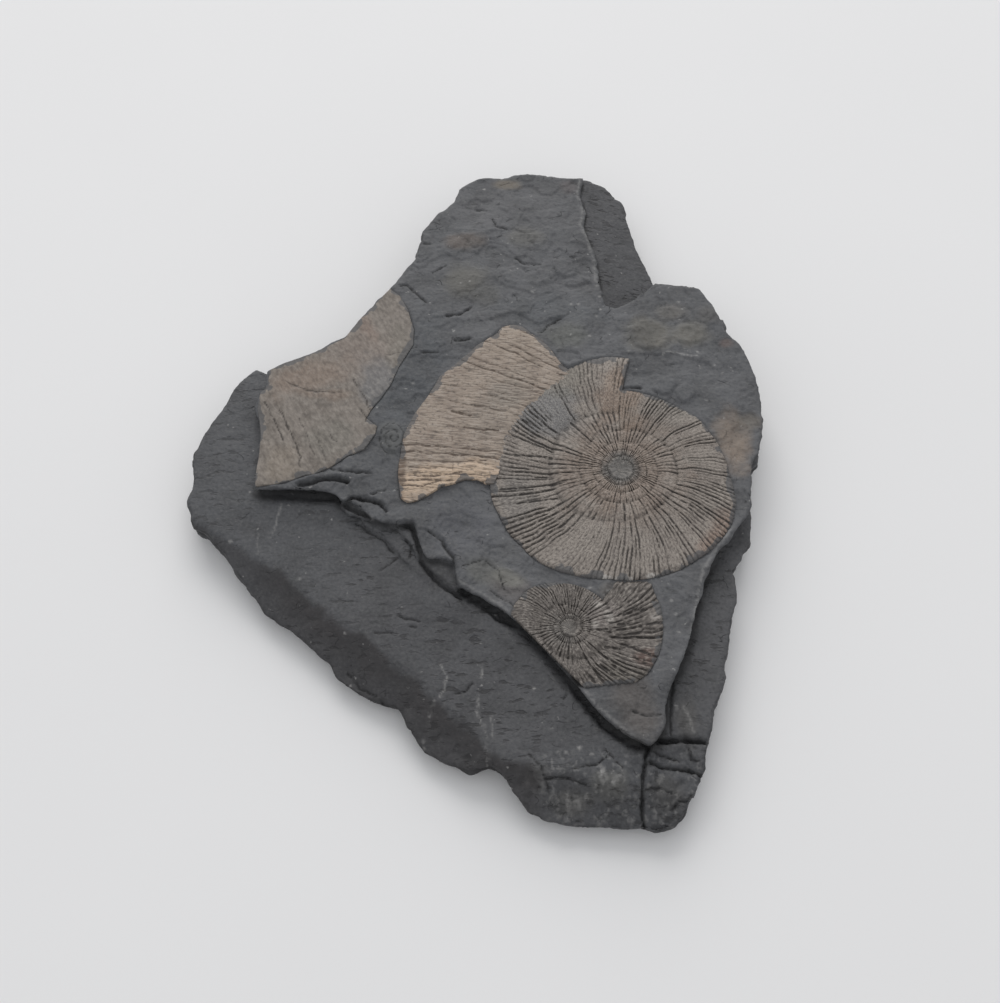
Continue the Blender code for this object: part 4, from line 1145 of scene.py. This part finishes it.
def under_shells(plan):
    """How far each point lies inside the nearest shell's outline, and below 0 outside them all."""
    covered = np.full(len(plan), -9.0)
    for outline in (LARGE_EDGE, SMALL_EDGE, MIDDLE, LEFT):
        covered = np.maximum(covered, inside(plan, outline))
    return covered


plan = points[:, :2]
top = step(0.3, 0.7, normals[:, 2]) * (points[:, 2] > 3.0)
upper = top * step(12.7, 13.1, points[:, 2])
lower = top - upper
bent = ragged(plan, 0.8, 3.0)
shelter = step(0.6, -0.6, under_shells(plan))
relief = 0.06 * lumps(plan, 2.2, 1.0, 3) + 0.14 * lumps(plan, 11.0, 5.0, 2)
terrace = lumps(bent, 11.0, 41.0, 2) * 3.4
terrace = 0.24 * (np.floor(terrace) + step(0.9, 1.0, terrace % 1.0))
rough = step(0.0, 0.5, lumps(plan, 16.0, 63.0))
relief = relief + upper * (terrace + 0.12 * rough * lumps(bent, 1.6, 7.0, 2))
for outline, height in TERRACES:
    relief += upper * height * step(-0.15, 0.25, inside(bent, outline))
for centre, radii, turn, height in OVALS:
    relief += upper * height * step(1.08, 0.82, reach(bent, centre, radii, turn))
rubble = bell(np.hypot(plan[:, 0] - 32.4, (plan[:, 1] + 40.2) * 1.2), 2.8)
relief += upper * rubble * (0.7 + 0.9 * lumps(bent, 1.3, 3.0, 2))
fine_plan = ragged(plan, 0.35, 1.5)
slit_depth, _ = lines_on(fine_plan, SLITS)
nick_depth, _ = lines_on(fine_plan, NICKS)
relief -= upper * slit_depth + lower * nick_depth
outer = step(0.0, 4.0, beyond_crest(bent))
broken = lower * step(-76.0, -84.0, plan[:, 1]) + lower * outer * 0.5
relief += broken * (0.7 * lumps(bent, 3.2, 17.0, 3))
tip = (plan[:, 0] > 39.5) & (plan[:, 1] < -75.0)
broken_steps = np.floor(3.0 * lumps(bent * [1.0, 1.6], 5.0, 77.0, 2))
relief += lower * tip * (broken_steps * 0.3 + 0.3 * lumps(bent, 1.5, 5.0, 2))
points[:, 2] += top * relief * shelter
pressed = (points[:, 2] > UNDER_SHELLS) & (shelter < 1.0) & (top > 0.0)
lowered = points[:, 2] * shelter + UNDER_SHELLS * (1.0 - shelter)
points[:, 2] = np.where(pressed, lowered, points[:, 2])
points[:, 2] = np.maximum(points[:, 2], 0.0)
slab.data.vertices.foreach_set("co", (points * MM).ravel())
slab.data.update()
print("relief from", round(float(relief.min()), 2), "to", round(float(relief.max()), 2), "mm")

# %% [markdown]
# The voxels were small enough for the cracks, which leaves far too many faces everywhere else. The
# Decimate modifier takes them from the flat parts first. A vertex group makes it take most of them
# from the underside and from below the shells. The base is then laid flat on the table again.

# %% Fewer faces
SLAB_FACES = 92000
THINNED, KEPT = 1.0, 0.25
coarse_group = slab.vertex_groups.new(name="coarse")
coarse = np.where((points[:, 2] < 0.8) | (shelter < 0.2), THINNED, KEPT)
for weight in (THINNED, KEPT):
    coarse_group.add(np.flatnonzero(coarse == weight).tolist(), weight, "REPLACE")
thin = slab.modifiers.new("fewer faces", "DECIMATE")
thin.ratio = min(1.0, SLAB_FACES / len(slab.data.polygons))
thin.vertex_group = "coarse"
apply_modifiers(slab)
slab.data.polygons.foreach_set("use_smooth", [True] * len(slab.data.polygons))
points, _ = read_points(slab.data)
points[:, 2] = np.maximum(points[:, 2], 0.0)
slab.data.vertices.foreach_set("co", points.ravel())
slab.data.update()
print("finished slab:", len(slab.data.polygons), "faces, up to",
      round(-inside(points[:, :2] / MM, RIM).min(), 2), "mm outside the rim")

# %% [markdown]
# Tone of each point. Cracks, a band along the foot of the cliff and the hollow under the lip of the
# upper bed get painted shade, because little light reaches them. The lower bed is darker than the
# upper bed, partly for the colour of its broken faces and partly as painted shade on the slopes
# that face away from the light. Scratches and dust are pale, and pale lines along the rims of the
# steps are painted highlights. Each tone is kept as an attribute of the mesh, which the material
# reads.

# %% Tone of the skin
points, normals = read_points(slab.data)
points /= MM
plan = points[:, :2]
fine_plan = ragged(plan, 0.35, 1.5)
upper = step(12.2, 12.8, points[:, 2])
# Painted shade: the slits, the nicks, a band along the foot of the cliff and the points under the
# lip of the upper bed are darkened in colour, where little light reaches.
_, slit = lines_on(fine_plan, SLITS)
_, nick = lines_on(fine_plan, NICKS)
cliff_gap_shade = (1.0 - upper) * step(-2.2, -0.4, inside(ragged(plan, 0.6, 2.0), PLATE))
cliff_gap_shade *= step(64.0, 56.0, plan[:, 0]) * step(-8.6, -10.8, plan[:, 1])
below_lip = (1.0 - step(12.4, 12.7, points[:, 2])) * (points[:, 2] > 8.0)
under_lip_shade = step(0.5, 1.5, inside(plan, PLATE)) * below_lip
add_tone(slab, "dark", upper * slit + (1.0 - upper) * nick + 0.8 * cliff_gap_shade + under_lip_shade)
rim_highlight, _ = lines_on(fine_plan, RIM_HIGHLIGHT_LINES)
flakes = 0.4 * step(0.2, 0.4, lumps(ragged(plan, 1.0, 2.0) * [1.7, 1.0], 2.2, 17.0, 3))
scratch, _ = lines_on(ragged(plan, 0.5, 2.0), SCRATCHES)
dust, _ = lines_on(plan, [([spot, (spot[0] + 0.3, spot[1])], 0.55, 0.9) for spot in DUST])
bottom = step(-76.0, -82.0, plan[:, 1]) * step(12.0, 18.0, plan[:, 0])
add_tone(slab, "pale", upper * rim_highlight + (1.0 - upper) * (scratch + bottom * flakes) + dust)
# The lower bed is darkened, partly for the colour of its broken faces and partly as painted shade.
# The slopes beyond the crest and the facet at the upper right get the most painted shade, as they
# face away from the light.
outside = beyond_crest(ragged(plan, 1.6, 5.0))
band = step(-0.3, 1.6, outside) * (1.0 - 0.35 * step(2.0, 9.0, outside))
band *= 1.0 - 0.45 * step(-44.0, -62.0, plan[:, 0])
band = np.maximum(band, 0.1 * (plan[:, 0] > 24.0) * (plan[:, 1] > 45.0))
lower_bed_darkening = 0.29 - 0.22 * step(-22.0, -46.0, plan[:, 0])
fresh_break_and_shade = (1.0 - upper) * (lower_bed_darkening + (1.0 - lower_bed_darkening) * band)
add_tone(slab, "fresh_break_and_shade", fresh_break_and_shade * (1.0 - 0.6 * bottom))
add_tone(slab, "broken_edge", step(0.3, 0.7, 1.0 - np.abs(normals[:, 2])))
print("tones on", len(points), "points")

# %% [markdown]
# Finishes. Shale is matt, dark and slightly blue, with a fine grain. The tones kept on the mesh
# darken its cracks and the hollows under the upper bed with painted shade, darken the lower bed,
# partly for its broken faces and partly as painted shade, and show its scratches and the painted
# highlights along the rims of its steps. Stains are soft ovals with ragged edges: iron has left
# brown and olive patches where other shells lie just under the surface, and two more are painted
# light, a dark patch of shade below the steps and a paler patch at the back of the upper bed. Each
# stain has its centre, radii, turn, colour and strength. Noise at several sizes then lays down
# grain, flecks and the dark dashes along the lower bed, each as one more thin coat of colour.

# %% Shale finish
STAINS = [
    ((-18.0, 25.0), (9.0, 20.0), -15.0, (0.070, 0.077, 0.087), 0.6),
    ((20.0, 45.0), (16.0, 6.0), 0.0, (0.074, 0.081, 0.090), 0.5),
    # Painted light: a broad paler patch at the back of the upper bed, the side that faces the
    # light.
    ((10.0, 82.0), (20.0, 10.0), 0.0, (0.120, 0.118, 0.124), 0.45),
    ((-4.0, -22.0), (9.0, 8.0), -30.0, (0.080, 0.082, 0.096), 0.5),
    # Painted shade: a dark patch on the rough face below the steps.
    ((-9.6, -34.0), (3.2, 4.4), 35.0, (0.040, 0.040, 0.043), 0.75),
    ((32.6, -40.2), (3.6, 2.6), 0.0, (0.190, 0.172, 0.158), 0.75),
    ((-4.2, 69.7), (5.8, 3.2), 5.0, (0.130, 0.098, 0.078), 0.55),
    ((7.6, 90.6), (3.8, 2.0), 0.0, (0.185, 0.155, 0.120), 0.7),
    ((25.4, 90.2), (2.9, 2.4), 0.0, (0.150, 0.126, 0.126), 0.5),
    ((-4.1, 55.9), (6.6, 6.0), 0.0, (0.130, 0.122, 0.104), 0.6),
    ((12.6, 71.1), (5.4, 3.5), 0.0, (0.126, 0.120, 0.106), 0.5),
    ((23.1, 37.0), (5.6, 4.4), 0.0, (0.128, 0.130, 0.118), 0.65),
    ((2.1, 50.5), (3.5, 3.4), 0.0, (0.115, 0.112, 0.104), 0.5),
    ((45.9, 37.3), (6.4, 5.6), -12.0, (0.150, 0.138, 0.116), 0.75),
    ((56.6, 37.6), (5.4, 4.2), 10.0, (0.150, 0.140, 0.120), 0.7),
    ((51.8, 44.6), (5.0, 3.0), 0.0, (0.146, 0.134, 0.120), 0.6),
    ((62.0, 44.0), (3.6, 3.0), 0.0, (0.105, 0.098, 0.092), 0.5),
    ((66.3, 34.4), (2.0, 1.6), 0.0, (0.150, 0.090, 0.076), 0.5),
    ((65.6, 3.0), (4.4, 9.6), 6.0, (0.215, 0.172, 0.140), 0.95),
    ((70.2, 9.6), (3.0, 2.6), 0.0, (0.140, 0.120, 0.100), 0.7),
    ((-21.9, 4.4), (3.5, 4.9), 10.0, (0.108, 0.110, 0.110), 0.8),
    ((2.5, -34.4), (5.6, 3.8), -20.0, (0.120, 0.118, 0.104), 0.5),
    ((8.2, -38.6), (5.6, 3.6), -30.0, (0.126, 0.106, 0.098), 0.5),
    ((7.2, -36.0), (4.4, 2.4), -25.0, (0.190, 0.186, 0.166), 0.7),
    ((36.5, -68.0), (5.5, 10.0), 20.0, (0.088, 0.076, 0.070), 0.75),
    ((49.0, -70.5), (3.0, 6.0), 0.0, (0.105, 0.098, 0.090), 0.5),
    ((30.5, -86.5), (4.5, 3.6), 0.0, (0.150, 0.145, 0.125), 0.45),
    ((22.0, -89.6), (4.5, 3.2), 0.0, (0.140, 0.132, 0.115), 0.4),
    ((14.0, -84.0), (3.5, 3.0), 0.0, (0.120, 0.115, 0.105), 0.4),
    ((43.5, -88.0), (4.0, 4.4), 0.0, (0.105, 0.098, 0.088), 0.4),
]
BED_COLOURS = (0.076, 0.078, 0.085), (0.100, 0.101, 0.108)
FRESH_BREAK_AND_SHADE = (0.029, 0.0255, 0.0265)
DARK_BLOTCH = (0.030, 0.030, 0.032)
PALE_GRAIN = (0.17, 0.168, 0.165)
DARK_GRAIN = (0.022, 0.022, 0.023)
DARK_FLECK = (0.020, 0.020, 0.021)
LAYER_LINE = (0.018, 0.018, 0.019)
FLAKE_EDGE = (0.016, 0.016, 0.017)
DASH = (0.016, 0.015, 0.016)
CHALKY_SPECK_AND_HIGHLIGHT = (0.36, 0.35, 0.34)
PAINTED_CRACK_SHADE = (0.010, 0.010, 0.011)


def shale_finish():
    sheet = Sheet("dark_shale")
    middle_size = sheet.cloud(4.0, 5.0)
    fine = sheet.cloud(0.4, 5.0)
    flecks = sheet.cloud(1.1, 4.0, (0.45, 1.0, 1.0))
    layers = sheet.cloud(0.5, 3.0, (0.05, 0.05, 1.0))
    plates = (sheet.cloud(6.0, 4.0, (0.6, 1.0, 0.2)) * 9.0).maths("FRACT")
    flake_edge = plates.rises(0.08, 0.0) * sheet.cloud(2.4, 2.0).rises(0.55, 0.66)
    pale_grain = fine.rises(0.42, 0.8) * (1.0 - sheet.tone("fresh_break_and_shade") * 0.7)
    dashes = sheet.cloud(0.7, 3.0, (0.36, 1.0, 1.0)).rises(0.44, 0.34)
    dashes = dashes * sheet.cloud(9.0, 4.0).rises(0.36, 0.56)
    dashes = dashes * (sheet.tone("fresh_break_and_shade") * 6.0).at_most(1.0)
    pale = (sheet.tone("pale") * sheet.cloud(0.6, 3.0).rises(0.3, 0.55)).at_most(1.0)
    colour = sheet.mix(sheet.cloud(24.0, 3.0).rises(0.3, 0.7), *BED_COLOURS)
    colour = sheet.stains(colour, STAINS, ragged=0.35)
    colour = sheet.coats(colour, [
        # Darker lower bed: partly the colour of broken shale, partly painted shade.
        (sheet.tone("fresh_break_and_shade") * 0.87, FRESH_BREAK_AND_SHADE),
        (middle_size.rises(0.62, 0.3) * 0.4, DARK_BLOTCH),
        (pale_grain * 0.37, PALE_GRAIN),
        (fine.rises(0.46, 0.26) * 0.45, DARK_GRAIN),
        (flecks.rises(0.36, 0.26) * 0.45, DARK_FLECK),
        (sheet.tone("broken_edge") * layers.rises(0.52, 0.4) * 0.7, LAYER_LINE),
        (flake_edge * 0.6, FLAKE_EDGE),
        (sheet.cloud(0.9, 2.0).rises(0.7, 0.78) * 0.5, CHALKY_SPECK_AND_HIGHLIGHT),
        (dashes * 0.6, DASH),
        # Pale scratches, dust and chips, and the painted highlights along the rims of the steps.
        (pale * 0.7, CHALKY_SPECK_AND_HIGHLIGHT),
        # Painted shade in the slits, the nicks and the hollow under the lip of the upper bed.
        (sheet.tone("dark") * 0.92, PAINTED_CRACK_SHADE),
    ])
    height = middle_size * 0.5 + fine * 0.4 + flecks * 0.5 + plates * 0.25
    height = height - flake_edge * 0.4 - dashes * 0.4
    return sheet.finish(colour, 0.6 + fine * 0.25, height, 0.4)


# %% [markdown]
# The shells are thin films, sandy and speckled, in browns that change from patch to patch. Dark
# and pale ticks lie along the ribs, and the grooves and seams that are cut in the mesh are painted
# nearly black: a dark filling, and painted shade in the hollows. At its edges the film is worn
# through in ragged chips, where the grey shale shows.

# %% Shell finishes
PALE_TICK = (0.44, 0.40, 0.36)
DARK_TICK = (0.045, 0.038, 0.034)
BARE_SHALE = (0.086, 0.086, 0.090)


def shell_finish(name, dark, light, groove_colour, patches, along_ribs, speckle):
    """Finish of one film: two base colours, the colour of its grooves, and its patches."""
    sheet = Sheet(name)
    fine = sheet.cloud(0.38, 5.0)
    middle_size = sheet.cloud(2.6, 5.0)
    ticks = sheet.node("TexNoise", {"noise_dimensions": "2D"}, along_ribs(sheet), 1.0, 3.0)
    grooves = sheet.tone("groove").rises(0.06, 0.55) * sheet.cloud(0.7, 3.0).rises(0.3, 0.52)
    worn_through = sheet.cloud(2.2, 5.0).rises(0.36, 0.6)
    worn = (sheet.tone("worn_edge") * 0.85 - worn_through).rises(0.0, 0.1)
    colour = sheet.mix(middle_size.rises(0.3, 0.7), dark, light)
    colour = sheet.stains(colour, patches, ragged=0.5)
    colour = sheet.coats(colour, [
        (ticks.rises(0.5, 0.72) * (0.4 * speckle), PALE_TICK),
        (fine.rises(0.52, 0.8) * (0.45 * speckle), PALE_TICK),
        (ticks.rises(0.5, 0.3) * (0.65 * speckle), DARK_TICK),
        (fine.rises(0.47, 0.28) * (0.7 * speckle), DARK_TICK),
        # The grooves and seams are painted nearly black: a dark filling and painted shade in the
        # hollows.
        ((grooves + sheet.tone("seam") * 0.6).at_most(1.0) * 0.88, groove_colour),
        (worn * 0.8, BARE_SHALE),
    ])
    height = fine * 0.5 + ticks * 0.5 + sheet.cloud(1.2, 4.0) * 0.3 - grooves * 0.3
    return sheet.finish(colour, 0.62 + fine * 0.25, height, 0.4 * speckle)


def on_coil(sheet):
    """Coordinates that run across the ribs and along them, for a coiled shell."""
    ribs = sheet.node("UVMap", {"uv_map": "ribs"})
    return sheet.node("VectorMath", {"operation": "MULTIPLY"}, ribs, (2.4, 1.5, 0.0))


def on_lines(turn, across, along):
    """The same for a piece with nearly straight ribs at an angle to the X axis."""
    def coordinates(sheet):
        return sheet.node("Mapping", {"vector_type": "TEXTURE"}, sheet.mm, (0.0, 0.0, 0.0),
                          (0.0, 0.0, math.radians(turn)), (along, across, 1.0))
    return coordinates


# %% [markdown]
# The patches of each shell, in the same form as the stains of the shale: warm where iron has
# coloured the film, grey where it is thin, and nearly white where chalky dust sticks to it.

# %% Patches of colour
LARGE_PATCHES = [
    ((36.5, -5.2), (15.5, 15.5), 0.0, (0.225, 0.165, 0.128), 0.55),
    ((36.6, 17.0), (6.0, 10.0), 0.0, (0.245, 0.165, 0.115), 0.5),
    ((17.2, 12.5), (9.0, 9.5), 40.0, (0.150, 0.156, 0.165), 0.7),
    ((22.0, 22.0), (8.0, 5.0), 30.0, (0.175, 0.165, 0.140), 0.5),
    ((60.0, -25.0), (4.0, 10.0), -35.0, (0.250, 0.160, 0.120), 0.55),
    ((32.0, -31.0), (20.0, 8.0), 0.0, (0.255, 0.225, 0.200), 0.5),
    ((52.0, 14.0), (8.0, 6.0), 0.0, (0.200, 0.185, 0.165), 0.5),
    ((10.0, -14.0), (6.0, 8.0), 0.0, (0.165, 0.156, 0.148), 0.5),
    ((36.0, -4.8), (5.0, 5.0), 0.0, (0.115, 0.118, 0.118), 0.8),
    ((30.8, -36.0), (1.8, 0.7), 0.0, (0.50, 0.47, 0.44), 0.9),
    ((35.2, -36.4), (2.4, 0.7), 0.0, (0.50, 0.47, 0.44), 0.9),
    ((42.4, -35.6), (1.4, 0.6), 10.0, (0.50, 0.47, 0.44), 0.8),
]
SMALL_PATCHES = [
    ((40.7, -57.0), (3.6, 2.2), 0.0, (0.110, 0.055, 0.042), 0.6),
    ((30.0, -45.6), (4.0, 3.8), 0.0, (0.230, 0.200, 0.188), 0.55),
    ((29.0, -43.4), (1.6, 0.9), 0.0, (0.42, 0.39, 0.36), 0.7),
    ((31.6, -46.4), (1.0, 1.8), 20.0, (0.42, 0.39, 0.36), 0.7),
    ((28.2, -48.8), (0.9, 1.4), 0.0, (0.42, 0.39, 0.36), 0.6),
    ((42.6, -46.6), (1.4, 0.8), 0.0, (0.36, 0.33, 0.31), 0.6),
    ((20.5, -49.3), (4.0, 4.0), 0.0, (0.130, 0.125, 0.118), 0.5),
    ((35.0, -62.0), (6.0, 3.4), -40.0, (0.140, 0.128, 0.108), 0.5),
]
MIDDLE_PATCHES = [
    ((-6.0, -9.0), (15.5, 5.8), 8.0, (0.520, 0.392, 0.285), 0.95),
    ((10.0, 33.0), (8.0, 7.0), -40.0, (0.320, 0.260, 0.210), 0.5),
    ((3.0, 10.0), (7.0, 8.0), 0.0, (0.235, 0.200, 0.170), 0.45),
    ((8.0, 18.0), (5.0, 7.0), -30.0, (0.225, 0.200, 0.172), 0.45),
    ((-19.6, -2.0), (1.3, 13.0), 0.0, (0.110, 0.070, 0.045), 0.7),
]
LEFT_PATCHES = [
    ((-45.0, 23.0), (12.0, 5.0), 22.0, (0.235, 0.170, 0.130), 0.5),
    ((-31.0, 31.0), (9.0, 9.0), 40.0, (0.215, 0.172, 0.148), 0.5),
    ((-38.0, 17.5), (5.0, 1.8), 0.0, (0.205, 0.140, 0.100), 0.4),
    ((-31.0, 41.0), (2.2, 9.0), 34.0, (0.225, 0.165, 0.135), 0.5),
    ((-26.0, 21.0), (6.0, 9.0), 20.0, (0.150, 0.152, 0.160), 0.65),
    ((-50.0, -4.0), (5.0, 6.0), 0.0, (0.240, 0.200, 0.160), 0.5),
    ((-38.0, 4.0), (7.0, 6.0), 0.0, (0.165, 0.155, 0.135), 0.5),
    ((-22.0, 33.0), (3.0, 8.0), 0.0, (0.185, 0.170, 0.145), 0.4),
]

# %% [markdown]
# Last, each piece gets its finish and the tones that the finish reads. The two ammonites are the
# same brown film, but the small one is duller, so it has a finish of its own.

# %% Dress the pieces
BLACK_BROWN = (0.020, 0.016, 0.014)
WORN_WIDTH = 1.8
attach(slab, "root")
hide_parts("shale_slab")
slab.data.materials.append(shale_finish())
brown = shell_finish("brown_shell_film", (0.192, 0.164, 0.145), (0.272, 0.238, 0.210), BLACK_BROWN,
                     LARGE_PATCHES, on_coil, 0.8)
dull = shell_finish("dull_shell_film", (0.104, 0.090, 0.081), (0.172, 0.152, 0.138), BLACK_BROWN,
                    SMALL_PATCHES, on_coil, 0.9)
tan = shell_finish("tan_shell", (0.250, 0.198, 0.162), (0.330, 0.270, 0.222), (0.085, 0.060, 0.045),
                   MIDDLE_PATCHES, on_lines(-6.0, 0.4, 3.4), 0.8)
grey_brown = shell_finish("grey_brown_shell_film", (0.160, 0.138, 0.120), (0.215, 0.188, 0.165),
                          (0.035, 0.028, 0.024), LEFT_PATCHES, on_lines(-60.0, 0.9, 1.8), 0.42)
for piece, finish, outline, grooves in (
    (large, brown, LARGE_EDGE, None),
    (small, dull, SMALL_EDGE, None),
    (middle, tan, MIDDLE, middle_grooves),
    (left, grey_brown, LEFT, left_grooves),
):
    piece.data.materials.append(finish)
    points, _ = read_points(piece.data)
    plan = points[:, :2] / MM
    if grooves:
        add_tone(piece, "groove", grooves(plan))
    add_tone(piece, "worn_edge", step(WORN_WIDTH, 0.0, inside(plan, outline)))
    print(piece.name, "wears", finish.name)
